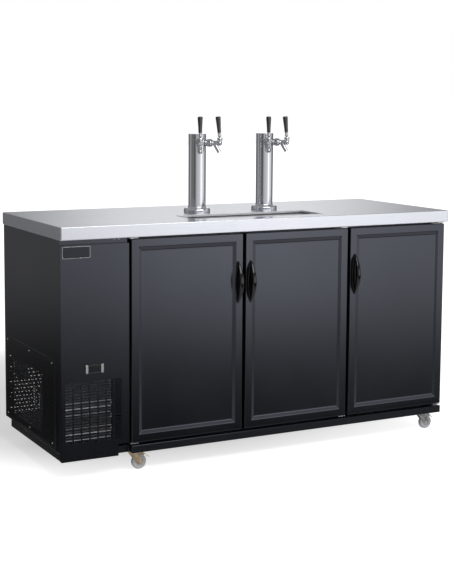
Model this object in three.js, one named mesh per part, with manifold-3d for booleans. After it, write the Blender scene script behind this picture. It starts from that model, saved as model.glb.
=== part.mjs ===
// Kegerator: an insulated cabinet with three doors, a machine compartment at its left end,
// a stainless worktop with a sunk drip tray, and two tap towers with two faucets each.
// Millimetres, +Z up, +X along the worktop, the doors face -Y, the floor is at height zero.

import * as THREE from 'three';
import Module from 'manifold-3d';
import { mergeVertices } from 'three/addons/utils/BufferGeometryUtils.js';

const wasm = await Module();
wasm.setup();

// Clearances and overruns shared by all pieces
const seatGap = 0.3;            // between a piece and the one that it rests on
const runGap = 0.7;             // round a pin, an axle or anything else that turns
const cutOverrun = 2;           // how far a cutter runs past the face that it opens
const lapDepth = 1;             // how far two joined shapes run into each other

// Doors
const doorCount = 3;
const doorWidth = 503;
const doorGap = 14;             // between neighbouring doors
const doorThickness = 48;
const doorTopGap = 10;          // door to worktop
const doorBottomGap = 12;       // door to base rail
const doorEndInset = 2;         // last door to the end of the cabinet
const doorFrameWidth = 32;      // flat border round the sunk panel
const doorBevelWidth = 13.5;
const doorPanelDepth = 7;       // how deep the panel is sunk
const doorLinerInset = 45;      // raised inner liner, from the edge of the door
const doorLinerDepth = 14;
const doorLinerDraft = 8;
const gasketInset = 10;
const gasketWidth = 16;
const gasketThickness = 12;     // from the back of the door to the cabinet

// Hinges
const pivotInset = 8;           // pin axis from the edge of the door
const pivotDepth = 14;          // pin axis behind the front of the door
const pivotRadius = 4;
const pivotReach = 12;          // how far the pin enters the door
const bracketWidth = 35;
const bracketThickness = 3;
const bracketNose = 9;          // bracket in front of the pin axis
const bracketDrop = 3;          // bracket clear of the door
const bracketLegHeight = 12;

// Door handles
const handleLength = 178;
const handleInset = 23;         // centre line from the free edge of the door
const handleDrop = 112;         // top of the handle below the top of the door
const handleReach = 40;         // how far the bow stands out from the door
const handleMidWidth = 28;
const handleEndWidth = 12;
const handlePlateThickness = 4;
const handleBowThickness = 9;
const handleFootLength = 20;    // solid foot at each end of the bow

// Machine compartment
const machineWidth = 288;
const panelToDoorGap = 11;
const panelTopGap = 23;         // front panel to worktop
const panelDepth = 18;          // folded edges of the front panel
const panelSheet = 2.5;
const panelNotchWidth = 47;     // cut out of the lower right corner
const panelNotchHeight = 48;
const housingWall = 5;
const housingFrontLip = 15;
const housingTopRail = 40;
const accessFrontInset = 93;    // access cover from the front edge of the worktop
const accessBackInset = 12;     // access cover from the back of the cabinet
const accessFloorInset = 8;     // access cover above the base
const accessHeight = 356;
const accessSheet = 2;
const accessLip = 12;           // ledge that the access cover is screwed to
const accessSeam = 1.2;         // open seam round the access cover

// Slotted grilles
const slotHeight = 5.5;
const slotPitchAcross = 11.3;
const slotRows = 22;
const grilleFloor = 71;         // lowest slot above the bottom edge of the front panel
const frontSlotLength = 28.5;
const frontSlotPitch = 34.9;
const frontSlotColumns = 7;
const frontGrilleLeft = 17;     // first slot from the left edge of the front panel
const sideSlotLength = 24.5;
const sideSlotPitch = 30.8;
const sideSlotColumns = 12;
const sideGrilleStart = 240;    // first slot behind the front edge of the worktop
const sideRearSlotGap = 28.3;   // to one more column at the back, with every second slot

// Open back of the machine compartment and the junction box that hangs over it
const rearOpeningMargin = 14;
const rearOpeningFloor = 8;
const rearOpeningHeight = 285;
const junctionBoxLeft = 39;     // from the left end of the cabinet
const junctionBoxWidth = 42;
const junctionBoxDepth = 54;
const junctionBoxHeight = 160;
const junctionBoxLap = 42;      // the part of its back that lies against the wall
const junctionLidStep = 3;
const junctionLidDepth = 12;

// Controller and bare badge plate
const controllerWidth = 78;
const controllerHeight = 37;
const controllerBezel = 4;
const controllerBodyWidth = 71;
const controllerBodyHeight = 29;
const controllerBodyDepth = 60;
const controllerClipWidth = 11; // end pieces of the bezel
const controllerWindowDrop = 5; // the window is lower than the end pieces
const controllerLeft = 100;     // from the left edge of the front panel
const controllerFloor = 346;    // from the bottom edge of the front panel
const badgeWidth = 115;
const badgeHeight = 46;
const badgeThickness = 1.5;
const badgeLeft = 8;
const badgeDrop = 4;

// Worktop and drip tray
const worktopDepth = 718;
const worktopThickness = 51;
const worktopHeight = 1016;
const worktopEdge = 2;          // broken edge all round
const standingGap = 63;         // from the tray to the plain part of the top at its left
const worktopCorner = 5;
const sideOverhang = 6;
const frontOverhang = 20;
const trayLength = 612;         // inside
const trayWidth = 166;          // inside
const trayDepth = 10.5;
const trayWall = 1.5;
const trayCorner = 8;
const trayLip = 5;
const trayLipThickness = 0.8;
const trayFrontInset = 93;      // inside edge from the front edge of the worktop
const trayCentreX = 4;

// Cabinet and base
const shellWall = 50;
const postWidth = 68;
const postDepth = 45;
const linerSheet = 1.5;
const baseHeight = 32;
const baseBackStep = 72;        // the base stops short of the back
const baseNotchDepth = 30;      // base set back behind the notch of the front panel

// Tap towers
const towerCentreX = 21.5;
const towerSpacing = 337;
const towerY = 32;
const towerHeight = 341;
const columnRadius = 38.1;
const capHeight = 26;
const capGroove = 0.8;
const capEdge = 2;
const flangeRadius = 57.5;
const flangeHeight = 19;
const flangeRound = 6;
const flangeNeck = 3;
const towerTurn = 15;           // degrees that the pair of faucets is turned from the front
const faucetSpread = 34;        // degrees from the middle of the pair to each faucet
const faucetDrop = 39;          // faucet axis below the top of the tower

// Faucets, measured outwards from the axis of the tower
const shankRadius = 11;
const shankDepth = 9;           // how far the shank enters the column
const collarRadius = 13.5;
const nutStart = 45.5;
const nutLength = 20;
const nutRadius = 16;
const nutChamfer = 1.6;
const barrelRadius = 12.5;
const barrelFrontRadius = 11;
const barrelWaist = 88;
const barrelEnd = 109;
const barrelNose = 4;
const leverReach = 101;
const bonnetRadius = 10.2;
const bonnetHeight = 23;
const bonnetBore = 6.6;
const bonnetMouth = 9;
const pivotHeight = 16;
const spoutRadius = 7;
const spoutBore = 4.6;
const spoutBoreDepth = 14;
const spoutReach = 97;
const spoutDrop = 37;
const spoutSlant = 35;          // degrees from the vertical

// Levers and tap handles, measured upwards from the lever pivot
const leverLean = 5;            // degrees that the closed lever leans to the column
const ballRadius = 5.8;
const neckRadius = 3.5;
const ferruleStart = 13;
const ferruleRadius = 6.5;
const ferruleEnd = 29;
const ferruleTaper = 4;
const studRadius = 3.5;
const studLength = 8;
const tapHandleLength = 70;
const tapHandleFootRadius = 6.6;
const tapHandleTopRadius = 11;
const tapHandleNeckHeight = 22;
const tapHandleShoulder = 62;
const tapHandleCrown = 4;

// Castors
const castorHeight = 85;
const castorLeftX = 46;         // swivel axis from the left wall of the cold cabinet
const castorRightX = 61;        // swivel axis from the right end of the cabinet
const castorInsetY = 63;        // swivel axis from the front and back of the base
const castorPlateSize = 62;
const castorPlateThickness = 3;
const castorRaceRadius = 21;
const castorRaceHeight = 4;
const forkDiscRadius = 24;
const forkDiscHeight = 4;
const forkLegThickness = 2.5;
const forkInnerGap = 23;
const forkLegTopWidth = 38;
const forkLegFootRadius = 9;
const castorTrail = 22;
const wheelRadius = 31.5;
const wheelWidth = 20;
const wheelTreadRound = 4;
const axleRadius = 4;
const pedalPivotX = 18;         // pedal pin from the wheel axle
const pedalPivotZ = 31;
const pedalEarRadius = 6;
const pedalPinRadius = 3;
const pedalWidth = 16;
const pedalThickness = 2.5;
const pedalReach = 29;          // tip of the pedal from its pin
const pedalSlope = 32;          // degrees that the pedal slopes down
const pedalTreadLength = 9;
const pedalTreadWidth = 24;

// Compressor, condenser and their fan
const compressorX = 160;        // from the left end of the cabinet
const compressorBackGap = 229;  // to the back of the cabinet
const potRadius = 82;
const potSeamRadius = 88;
const potSeamHeight = 105;
const potSeamThickness = 6;
const potHeight = 190;
const potShoulder = 45;
const potFootHeight = 18;
const potPlateLength = 200;
const potPlateWidth = 150;
const potPlateThickness = 4;
const condenserLeft = 24;       // from the left end of the cabinet
const condenserWidth = 196;
const condenserThickness = 44;
const condenserFloor = 30;      // above the base
const condenserHeight = 262;
const condenserSetback = 34;    // behind the front panel's face
const condenserTubeRadius = 4.5;
const condenserTubePitch = 25;
const shroudThickness = 3;
const shroudThroatLength = 30;
const shroudThroatWall = 2.5;
const motorRadius = 26;
const motorLength = 38;
const motorArmWidth = 14;
const fanRadius = 82;
const fanTipGap = 6;
const fanHubRadius = 20;
const fanHubLength = 22;
const fanBladeCount = 5;
const fanBladePitch = 20;       // degrees
const fanBladeThickness = 2.4;
const fanBladeSweep = 40;       // degrees that one blade covers

// Evaporator unit on the left wall inside the cabinet
const evaporatorWidth = 118;    // out from the wall
const evaporatorLength = 330;
const evaporatorHeight = 240;
const evaporatorBackInset = 20; // from the back of the liner
const evaporatorTopInset = 16;  // from the ceiling of the liner
const evaporatorFanRadius = 78;
const evaporatorFanDepth = 46;
const evaporatorMotorRadius = 22;
const evaporatorMotorLength = 14;

// Facet counts
const columnSides = 16;
const faucetSides = 8;
const pinSides = 6;
const wheelSides = 14;
const potSides = 10;
const fanSides = 10;
const throatSides = 14;
const bladeSteps = 1;
const cornerSteps = 1;
const edgeSteps = 2;
const legSteps = 2;
const bowSteps = 8;
const leafSteps = 6;

// Angles, in radians and in degrees
const halfTurn = Math.PI;
const quarterTurn = halfTurn / 2;
const fullCircle = 360;
const rightAngle = fullCircle / 4;

// Places that follow from the sizes above
const doorsLength = doorCount * doorWidth + (doorCount - 1) * doorGap;
const cabinetLength = machineWidth + panelToDoorGap + doorsLength + doorEndInset;
const worktopLength = cabinetLength + 2 * sideOverhang;
const cabinetLeft = -cabinetLength / 2;
const cabinetRight = cabinetLength / 2;
const panelRight = cabinetLeft + machineWidth;
const doorsLeft = panelRight + panelToDoorGap;
const worktopFront = -worktopDepth / 2;
const faceY = worktopFront + frontOverhang;
const backY = worktopDepth / 2;
const doorBackY = faceY + doorThickness;
const shellFrontY = doorBackY + gasketThickness;
const baseTop = castorHeight + baseHeight;
const shellFloor = baseTop + seatGap;
const shellTop = worktopHeight - worktopThickness - seatGap;
const doorBottom = baseTop + doorBottomGap;
const doorTop = worktopHeight - worktopThickness - doorTopGap;
const doorHeight = doorTop - doorBottom;
const shellLeft = panelRight;
const housingFrontY = faceY + panelDepth + seatGap;
const housingRight = shellLeft - seatGap;
const linerFrontY = shellFrontY + postDepth + seatGap;
const frontPanelHeight = worktopHeight - worktopThickness - panelTopGap - castorHeight;
const accessFrontY = worktopFront + accessFrontInset;
const accessBackY = backY - accessBackInset;
const accessFloor = baseTop + accessFloorInset;
const trayCentreY = worktopFront + trayFrontInset + trayWidth / 2;
const forkTop = castorHeight - castorPlateThickness - castorRaceHeight - 2 * seatGap;
const towerFloor = worktopHeight + seatGap;
const grilleBottom = castorHeight + grilleFloor;
const rearOpeningBottom = shellFloor + rearOpeningFloor;
const rearOpeningTop = rearOpeningBottom + rearOpeningHeight;
const junctionBoxFloor = rearOpeningTop + junctionBoxLap - junctionBoxHeight;
const controllerBodyLeft = (controllerWidth - controllerBodyWidth) / 2;
const controllerBodyFloor = (controllerHeight - controllerBodyHeight) / 2;

// The bow handles stand out past the worktop, so the model is set back by half of that:
// the origin is then under the middle of the whole object.
const frameShift = (handleReach + seatGap - frontOverhang) / 2;

const faucetLabels = ['a', 'b'];

const radians = (degrees) => THREE.MathUtils.degToRad(degrees);

// Finishes, one new material for each piece.
const finish = (colour, roughness, metalness) => () =>
  new THREE.MeshStandardMaterial({ color: colour, roughness, metalness });
const blackPaint = finish(0x2b2d32, 0.45, 0.3);
const darkPaint = finish(0x16171a, 0.6, 0.2);
const brushedSteel = finish(0xc9ccd1, 0.32, 1);
const polishedSteel = finish(0xd8dade, 0.15, 1);
const glossBlack = finish(0x0b0b0d, 0.18, 0);
const greyRubber = finish(0x4a4b4e, 0.9, 0);
const linerMetal = finish(0xb9bcc0, 0.45, 0.9);
const zincSteel = finish(0xb6b3a6, 0.4, 0.9);
const castorTyre = finish(0x9a9da1, 0.6, 0);
const copperCoil = finish(0xa9a49a, 0.45, 0.9);
const blackPlastic = finish(0x202124, 0.5, 0);

// Shapes

/** Merges shared corners and drops the empty triangles that a lathe leaves on its axis. */
function weld(geometry) {
  const bare = geometry.clone();
  bare.deleteAttribute('normal');
  bare.deleteAttribute('uv');
  const merged = mergeVertices(bare);
  const index = merged.index.array;
  const kept = [];
  for (let i = 0; i < index.length; i += 3) {
    const [a, b, c] = [index[i], index[i + 1], index[i + 2]];
    if (a !== b && b !== c && c !== a) kept.push(a, b, c);
  }
  merged.setIndex(kept);
  return merged;
}

/** A closed geometry as a solid that can be joined and cut. */
function solid(geometry) {
  const closed = weld(geometry);
  const mesh = new wasm.Mesh({
    numProp: 3,
    vertProperties: Float32Array.from(closed.attributes.position.array),
    triVerts: Uint32Array.from(closed.index.array),
  });
  return new wasm.Manifold(mesh);
}

/** A solid back as a geometry. */
function toGeometry(body) {
  const { vertProperties, triVerts } = body.getMesh();
  const geometry = new THREE.BufferGeometry();
  geometry.setAttribute('position', new THREE.BufferAttribute(vertProperties, 3));
  geometry.setIndex(new THREE.BufferAttribute(triVerts, 1));
  geometry.computeVertexNormals();
  return geometry;
}

/** A block between two corners. */
function block(x0, x1, y0, y1, z0, z1) {
  const geometry = new THREE.BoxGeometry(x1 - x0, y1 - y0, z1 - z0);
  geometry.translate((x0 + x1) / 2, (y0 + y1) / 2, (z0 + z1) / 2);
  return solid(geometry);
}

/** A block round the Z axis whose top is smaller than its foot by the draft on every side. */
function draftedBlock(width, depth, height, draft) {
  const geometry = new THREE.BoxGeometry(width, depth, height);
  geometry.translate(0, 0, height / 2);
  const position = geometry.attributes.position;
  for (let i = 0; i < position.count; i += 1) {
    if (position.getZ(i) > height / 2) {
      position.setX(i, position.getX(i) * (1 - (2 * draft) / width));
      position.setY(i, position.getY(i) * (1 - (2 * draft) / depth));
    }
  }
  return solid(geometry);
}

/** A profile of [radius, height] points turned round the Z axis. */
function turned(profile, sides, start = 0) {
  const points = profile.map(([radius, height]) => new THREE.Vector2(radius, height));
  const geometry = new THREE.LatheGeometry(points, sides, start);
  geometry.rotateX(quarterTurn);
  return solid(geometry);
}

/** A round bar along Z from one height to another. */
function bar(radius, z0, z1, sides) {
  return turned([[0, z0], [radius, z0], [radius, z1], [0, z1]], sides);
}

/** An outline, a shape or [x, y] points, extruded upwards. */
function extruded(outline, height, steps = cornerSteps) {
  const shape = outline instanceof THREE.Shape ? outline : shapeOf(outline);
  return solid(new THREE.ExtrudeGeometry(shape, {
    depth: height, bevelEnabled: false, curveSegments: steps,
  }));
}

/** An outline of [x, y] points as a shape. */
function shapeOf(outline) {
  return new THREE.Shape(outline.map(([x, y]) => new THREE.Vector2(x, y)));
}

/** A rectangle round the origin with round corners. */
function roundedRectangle(width, height, radius) {
  const shape = new THREE.Shape();
  const [x, y] = [width / 2, height / 2];
  shape.moveTo(-x + radius, -y);
  shape.lineTo(x - radius, -y);
  shape.absarc(x - radius, -y + radius, radius, -quarterTurn, 0);
  shape.lineTo(x, y - radius);
  shape.absarc(x - radius, y - radius, radius, 0, quarterTurn);
  shape.lineTo(-x + radius, y);
  shape.absarc(-x + radius, y - radius, radius, quarterTurn, halfTurn);
  shape.lineTo(-x, -y + radius);
  shape.absarc(-x + radius, -y + radius, radius, halfTurn, halfTurn + quarterTurn);
  return shape;
}

/** Joins a list of solids. */
const joined = (bodies) => wasm.Manifold.union(bodies);

/** An outline in the front plane, [x, z] points, going back from the plane by its depth. */
const upright = (outline, depth, steps) =>
  extruded(outline, depth, steps).rotate([rightAngle, 0, 0]).translate([0, depth, 0]);

/** An outline in the side plane, [y, z] points, going to the right from the plane by its depth. */
function sideways(outline, depth) {
  const turn = new THREE.Matrix4().set(0, 0, 1, 0, 1, 0, 0, 0, 0, 1, 0, 0, 0, 0, 0, 1);
  return extruded(outline, depth).transform(turn.elements);
}

/** Turns a solid drawn along Z so that it points to the right. */
const toRight = (body) => body.rotate([0, rightAngle, 0]);

/** Turns a solid drawn along Z so that it points to the back. */
const toBack = (body) => body.rotate([-rightAngle, 0, 0]);

/** Radius of a many-sided bore that clears a round pin by a gap. */
const boreFor = (radius, gap, sides) => (radius + gap) / Math.cos(halfTurn / sides);

/** Lower left corners of a field of slots. */
function slotCorners(left, bottom, columns, pitchAlong, rows, pitchAcross) {
  const corners = [];
  for (let row = 0; row < rows; row += 1) {
    for (let column = 0; column < columns; column += 1) {
      corners.push([left + column * pitchAlong, bottom + row * pitchAcross]);
    }
  }
  return corners;
}

/** A named mesh. */
function piece(name, body, material) {
  const mesh = new THREE.Mesh(toGeometry(body), material());
  mesh.name = name;
  return mesh;
}

/** A group at a place, holding some pieces. */
function placed(x, y, z, ...children) {
  const group = new THREE.Group();
  group.position.set(x, y, z);
  group.add(...children);
  return group;
}

// Cabinet

/** Insulated casing with an open front and a post behind each gap between two doors. */
function cabinetShell() {
  const casing = block(shellLeft, cabinetRight, shellFrontY, backY, shellFloor, shellTop);
  const cavity = block(
    shellLeft + shellWall, cabinetRight - shellWall,
    shellFrontY - cutOverrun, backY - shellWall,
    shellFloor + shellWall, shellTop - shellWall);
  const posts = [];
  for (let i = 1; i < doorCount; i += 1) {
    const x = doorsLeft + i * (doorWidth + doorGap) - doorGap / 2;
    posts.push(block(
      x - postWidth / 2, x + postWidth / 2,
      shellFrontY, shellFrontY + postDepth,
      shellFloor + shellWall - lapDepth, shellTop - shellWall + lapDepth));
  }
  return joined([casing.subtract(cavity), ...posts]);
}

/** Inner metal box behind the posts, open at the front. */
function cabinetLiner() {
  const gap = shellWall + seatGap;
  const inner = gap + linerSheet;
  const outside = block(
    shellLeft + gap, cabinetRight - gap, linerFrontY, backY - gap, shellFloor + gap, shellTop - gap);
  const inside = block(
    shellLeft + inner, cabinetRight - inner,
    linerFrontY - cutOverrun, backY - inner,
    shellFloor + inner, shellTop - inner);
  return outside.subtract(inside);
}

/** Base slab: front rail under the doors, set back at the machine compartment, short at the back. */
function baseFrame() {
  const notchLeft = panelRight - panelNotchWidth;
  const notchY = faceY + baseNotchDepth;
  const baseBackY = backY - baseBackStep;
  return extruded([
    [cabinetLeft, housingFrontY],
    [notchLeft, housingFrontY],
    [notchLeft, notchY],
    [doorsLeft, notchY],
    [doorsLeft, faceY],
    [cabinetRight, faceY],
    [cabinetRight, baseBackY],
    [cabinetLeft, baseBackY],
  ], baseHeight);
}

/** Stainless top with broken edges and the cut-out for the tray; the origin is on its underside. */
function worktop() {
  const outline = roundedRectangle(
    worktopLength - 2 * worktopEdge, worktopDepth - 2 * worktopEdge, worktopCorner - worktopEdge);
  const slab = new THREE.ExtrudeGeometry(outline, {
    depth: worktopThickness - 2 * worktopEdge,
    bevelThickness: worktopEdge,
    bevelSize: worktopEdge,
    bevelSegments: 1,
    curveSegments: cornerSteps,
  }).translate(0, 0, worktopEdge);
  const part = (from, to) => solid(slab).intersect(
    block(from, to, -worktopDepth, worktopDepth, -cutOverrun, worktopThickness + cutOverrun));
  const gap = trayWall + seatGap;
  const pocketDepth = trayDepth + gap;
  const pocket = extruded(
    roundedRectangle(trayLength + 2 * gap, trayWidth + 2 * gap, trayCorner + gap),
    pocketDepth + cutOverrun);
  const standingRight = trayCentreX - trayLength / 2 - standingGap;
  const standing = part(-worktopLength, standingRight);
  const pouring = part(standingRight, worktopLength)
    .subtract(pocket.translate([trayCentreX, trayCentreY, worktopThickness - pocketDepth]));
  return standing.add(pouring);
}

/** Sunk pan with a thin rim that lies on the worktop; the origin is in the middle of its opening. */
function dripTray() {
  const level = (outset, floor, top) => extruded(
    roundedRectangle(trayLength + 2 * outset, trayWidth + 2 * outset, trayCorner + outset),
    top - floor).translate([0, 0, floor]);
  const rimTop = seatGap + trayLipThickness;
  return level(trayWall + trayLip, seatGap, rimTop)
    .add(level(trayWall, -trayDepth - trayWall, rimTop))
    .subtract(level(0, -trayDepth, cutOverrun));
}

function buildCabinet() {
  const top = worktopHeight - worktopThickness;
  const cabinet = new THREE.Group();
  cabinet.add(
    piece('cabinet_shell', cabinetShell(), blackPaint),
    piece('cabinet_liner', cabinetLiner(), linerMetal),
    placed(0, 0, castorHeight, piece('base_frame', baseFrame(), darkPaint)),
    placed(0, 0, top, piece('worktop', worktop(), brushedSteel)),
    placed(trayCentreX, trayCentreY, worktopHeight, piece('drip_tray', dripTray(), polishedSteel)));
  return cabinet;
}

// Machine compartment

/** Sheet casing, open to the front and the cold cabinet, with the access opening and the open back. */
function machineHousing() {
  const [left, inner] = [cabinetLeft, cabinetLeft + housingWall];
  const [past, floor] = [housingRight + cutOverrun, shellFloor - cutOverrun];
  const casing = block(left, housingRight, housingFrontY, backY, shellFloor, shellTop);
  const inside = block(
    inner, past, housingFrontY + housingWall, backY - housingWall, floor, shellTop - housingWall);
  const doorway = block(
    left + housingFrontLip, past, housingFrontY - cutOverrun, housingFrontY + housingWall + cutOverrun,
    floor, shellTop - housingTopRail);
  const rebate = block(
    left - cutOverrun, left + accessSheet + seatGap, accessFrontY, accessBackY,
    accessFloor, accessFloor + accessHeight);
  const opening = block(
    left - cutOverrun, inner + cutOverrun, accessFrontY + accessLip, accessBackY - accessLip,
    accessFloor + accessLip, accessFloor + accessHeight - accessLip);
  const back = block(
    left + rearOpeningMargin, housingRight - rearOpeningMargin,
    backY - housingWall - cutOverrun, backY + cutOverrun, rearOpeningBottom, rearOpeningTop);
  return casing.subtract(joined([inside, doorway, rebate, opening, back]));
}

/** Junction box on the back wall with a lid in its front; the origin is its lower left back corner. */
function junctionBox() {
  const [w, h, step] = [junctionBoxWidth, junctionBoxHeight, junctionLidStep];
  const body = block(0, w, junctionLidDepth - junctionBoxDepth, 0, 0, h);
  const lidBack = junctionLidDepth + lapDepth - junctionBoxDepth;
  const lid = block(-step, w + step, -junctionBoxDepth, lidBack, -step, h + step);
  return body.add(lid);
}

/** Outline of the front panel with its lower right notch, drawn in from its edges. */
function frontPanelOutline(inset) {
  const notchX = machineWidth - panelNotchWidth;
  return [
    [inset, inset],
    [notchX - inset, inset],
    [notchX - inset, panelNotchHeight + inset],
    [machineWidth - inset, panelNotchHeight + inset],
    [machineWidth - inset, frontPanelHeight - inset],
    [inset, frontPanelHeight - inset],
  ];
}

/** Slotted front cover with folded edges; the origin is its lower left corner. */
function frontPanel() {
  const face = upright(frontPanelOutline(0), panelSheet);
  const edges = shapeOf(frontPanelOutline(0));
  edges.holes.push(new THREE.Path(shapeOf(frontPanelOutline(panelSheet)).getPoints()));
  const back = panelSheet + cutOverrun;
  const corners = slotCorners(
    frontGrilleLeft, grilleFloor, frontSlotColumns, frontSlotPitch, slotRows, slotPitchAcross);
  const slots = corners.map(
    ([x, z]) => block(x, x + frontSlotLength, -cutOverrun, back, z, z + slotHeight));
  const [left, bottom] = [controllerLeft + controllerBodyLeft, controllerFloor + controllerBodyFloor];
  const cutOut = block(
    left - seatGap, left + controllerBodyWidth + seatGap, -cutOverrun, back,
    bottom - seatGap, bottom + controllerBodyHeight + seatGap);
  return face.add(upright(edges, panelDepth)).subtract(joined([cutOut, ...slots]));
}

/** Slotted access cover of the left side; the origin is its lower front corner. */
function sidePanel() {
  const length = accessBackY - accessFrontY - 2 * accessSeam;
  const cover = block(0, accessSheet, 0, length, 0, accessHeight - 2 * accessSeam);
  const start = sideGrilleStart - accessFrontInset - accessSeam;
  const bottom = grilleBottom - accessFloor - accessSeam;
  const rear = start + (sideSlotColumns - 1) * sideSlotPitch + sideSlotLength + sideRearSlotGap;
  const corners = [
    ...slotCorners(start, bottom, sideSlotColumns, sideSlotPitch, slotRows, slotPitchAcross),
    ...slotCorners(rear, bottom + slotPitchAcross, 1, sideSlotPitch, slotRows / 2, 2 * slotPitchAcross),
  ];
  const slots = corners.map(([y, z]) => block(
    -cutOverrun, accessSheet + cutOverrun, y, y + sideSlotLength, z, z + slotHeight));
  return cover.subtract(joined(slots));
}

/** Thermostat: a body through the panel and a bezel whose window lies between two end pieces. */
function temperatureController() {
  const body = block(
    controllerBodyLeft, controllerBodyLeft + controllerBodyWidth,
    -seatGap - lapDepth, controllerBodyDepth,
    controllerBodyFloor, controllerBodyFloor + controllerBodyHeight);
  const front = -controllerBezel - seatGap;
  const window = block(
    controllerClipWidth - lapDepth, controllerWidth - controllerClipWidth + lapDepth,
    front, -seatGap, controllerWindowDrop, controllerHeight - controllerWindowDrop);
  const clips = [0, controllerWidth - controllerClipWidth].map((x) => block(
    x, x + controllerClipWidth, front, -seatGap, 0, controllerHeight));
  return joined([body, window, ...clips]);
}

/** Hermetic compressor: a two-part pot on its foot plate, standing on the origin. */
function compressor() {
  const potTop = potFootHeight + potHeight;
  const seam = potFootHeight + potSeamHeight;
  const pot = turned([
    [0, potFootHeight],
    [potRadius - potShoulder / 2, potFootHeight],
    [potRadius, potFootHeight + potShoulder / 2],
    [potRadius, seam],
    [potSeamRadius, seam],
    [potSeamRadius, seam + potSeamThickness],
    [potRadius, potTop - potShoulder],
    [potRadius - potShoulder / 2, potTop - potShoulder / 2 + potSeamThickness],
    [0, potTop],
  ], potSides);
  const [x, y] = [potPlateLength / 2, potPlateWidth / 2];
  const plate = block(-x, x, -y, y, 0, potPlateThickness);
  const foot = bar(potRadius / 2, 0, potFootHeight + lapDepth, pinSides);
  return joined([plate, foot, pot]);
}

/** Finned block with tube runs across its front, between two end sheets that stand on the base. */
function condenserCoil() {
  const top = condenserFloor + condenserHeight;
  const fins = block(0, condenserWidth, 0, condenserThickness, condenserFloor, top);
  const ends = [-shroudThickness, condenserWidth].map(
    (x) => block(x, x + shroudThickness, 0, condenserThickness, 0, top));
  const runs = [];
  const count = Math.floor(condenserHeight / condenserTubePitch);
  for (let i = 0; i < count; i += 1) {
    const z = condenserFloor + condenserTubePitch * (i + 1 / 2);
    runs.push(toRight(bar(condenserTubeRadius, 0, condenserWidth, pinSides)).translate([0, 0, z]));
  }
  return joined([fins, ...ends, ...runs]);
}

/** Plate behind the coil with a round throat, and the motor on two arms behind the throat. */
function condenserFanShroud() {
  const radius = fanRadius + fanTipGap;
  const outer = radius + shroudThroatWall;
  const [x, z] = [condenserWidth / 2, condenserFloor + condenserHeight / 2];
  const alongY = (size, from, to, sides) => toBack(bar(size, from, to, sides)).translate([x, 0, z]);
  const plate = block(0, condenserWidth, 0, shroudThickness, 0, condenserFloor + condenserHeight);
  const throat = alongY(outer, 0, shroudThroatLength, throatSides);
  const bore = alongY(radius, -cutOverrun, shroudThroatLength + cutOverrun, throatSides);
  const armStart = shroudThroatLength - lapDepth;
  const arms = block(
    x - outer, x + outer, armStart, shroudThroatLength + shroudThickness,
    z - motorArmWidth / 2, z + motorArmWidth / 2);
  const motor = alongY(motorRadius, armStart, shroudThroatLength + motorLength, fanSides);
  return joined([plate.add(throat).subtract(bore), arms, motor]);
}

/** Axial fan round the Z axis: a hub and pitched blades. */
function fan(radius, hubRadius, hubLength) {
  const sweep = radians(fanBladeSweep);
  const blade = new THREE.Shape();
  blade.absarc(0, 0, hubRadius - lapDepth, -sweep / 2, sweep / 2, false);
  blade.absarc(0, 0, radius, sweep / 2, -sweep / 2, true);
  const centred = [0, 0, -fanBladeThickness / 2];
  const flat = extruded(blade, fanBladeThickness, bladeSteps).translate(centred);
  const blades = [];
  for (let i = 0; i < fanBladeCount; i += 1) {
    blades.push(flat.rotate([fanBladePitch, 0, 0]).rotate([0, 0, (i * fullCircle) / fanBladeCount]));
  }
  return joined([bar(hubRadius, -hubLength / 2, hubLength / 2, fanSides), ...blades]);
}

function buildMachineCompartment() {
  const machine = new THREE.Group();
  const coilX = cabinetLeft + condenserLeft;
  const coilY = faceY + condenserSetback;
  const shroudY = coilY + condenserThickness + seatGap;
  const fanY = shroudY + shroudThroatLength - lapDepth - seatGap - fanHubLength / 2;
  const fanZ = shellFloor + condenserFloor + condenserHeight / 2;
  const condenserFan = piece('condenser_fan', fan(fanRadius, fanHubRadius, fanHubLength), blackPlastic);
  condenserFan.rotation.x = -quarterTurn;
  machine.add(
    piece('machine_housing', machineHousing(), blackPaint),
    placed(cabinetLeft, faceY, castorHeight,
      piece('front_panel', frontPanel(), blackPaint),
      placed(badgeLeft, -badgeThickness - seatGap, frontPanelHeight - badgeDrop - badgeHeight,
        piece('badge_plate', block(0, badgeWidth, 0, badgeThickness, 0, badgeHeight), darkPaint)),
      placed(controllerLeft, 0, controllerFloor,
        piece('temperature_controller', temperatureController(), blackPlastic))),
    placed(cabinetLeft, accessFrontY + accessSeam, accessFloor + accessSeam,
      piece('side_panel', sidePanel(), blackPaint)),
    placed(cabinetLeft + compressorX, backY - compressorBackGap, shellFloor,
      piece('compressor', compressor(), glossBlack)),
    placed(cabinetLeft + junctionBoxLeft, backY - housingWall - seatGap, junctionBoxFloor,
      piece('junction_box', junctionBox(), darkPaint)),
    placed(coilX, coilY, shellFloor, piece('condenser_coil', condenserCoil(), copperCoil)),
    placed(coilX, shroudY, shellFloor, piece('condenser_fan_shroud', condenserFanShroud(), darkPaint)),
    placed(coilX + condenserWidth / 2, fanY, fanZ, condenserFan));
  return machine;
}

/** Evaporator case: a box with a fan chamber in its right side and the motor in the chamber. */
function evaporatorHousing() {
  const [y, z] = [evaporatorLength / 2, evaporatorHeight / 2];
  const box = block(0, evaporatorWidth, 0, evaporatorLength, 0, evaporatorHeight);
  const chamberFloor = evaporatorWidth - evaporatorFanDepth;
  const chamber = toRight(bar(
    evaporatorFanRadius + fanTipGap, chamberFloor, evaporatorWidth + cutOverrun, throatSides));
  const motor = toRight(bar(
    evaporatorMotorRadius, chamberFloor - lapDepth, chamberFloor + evaporatorMotorLength, fanSides));
  return box.subtract(chamber.translate([0, y, z])).add(motor.translate([0, y, z]));
}

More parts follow.
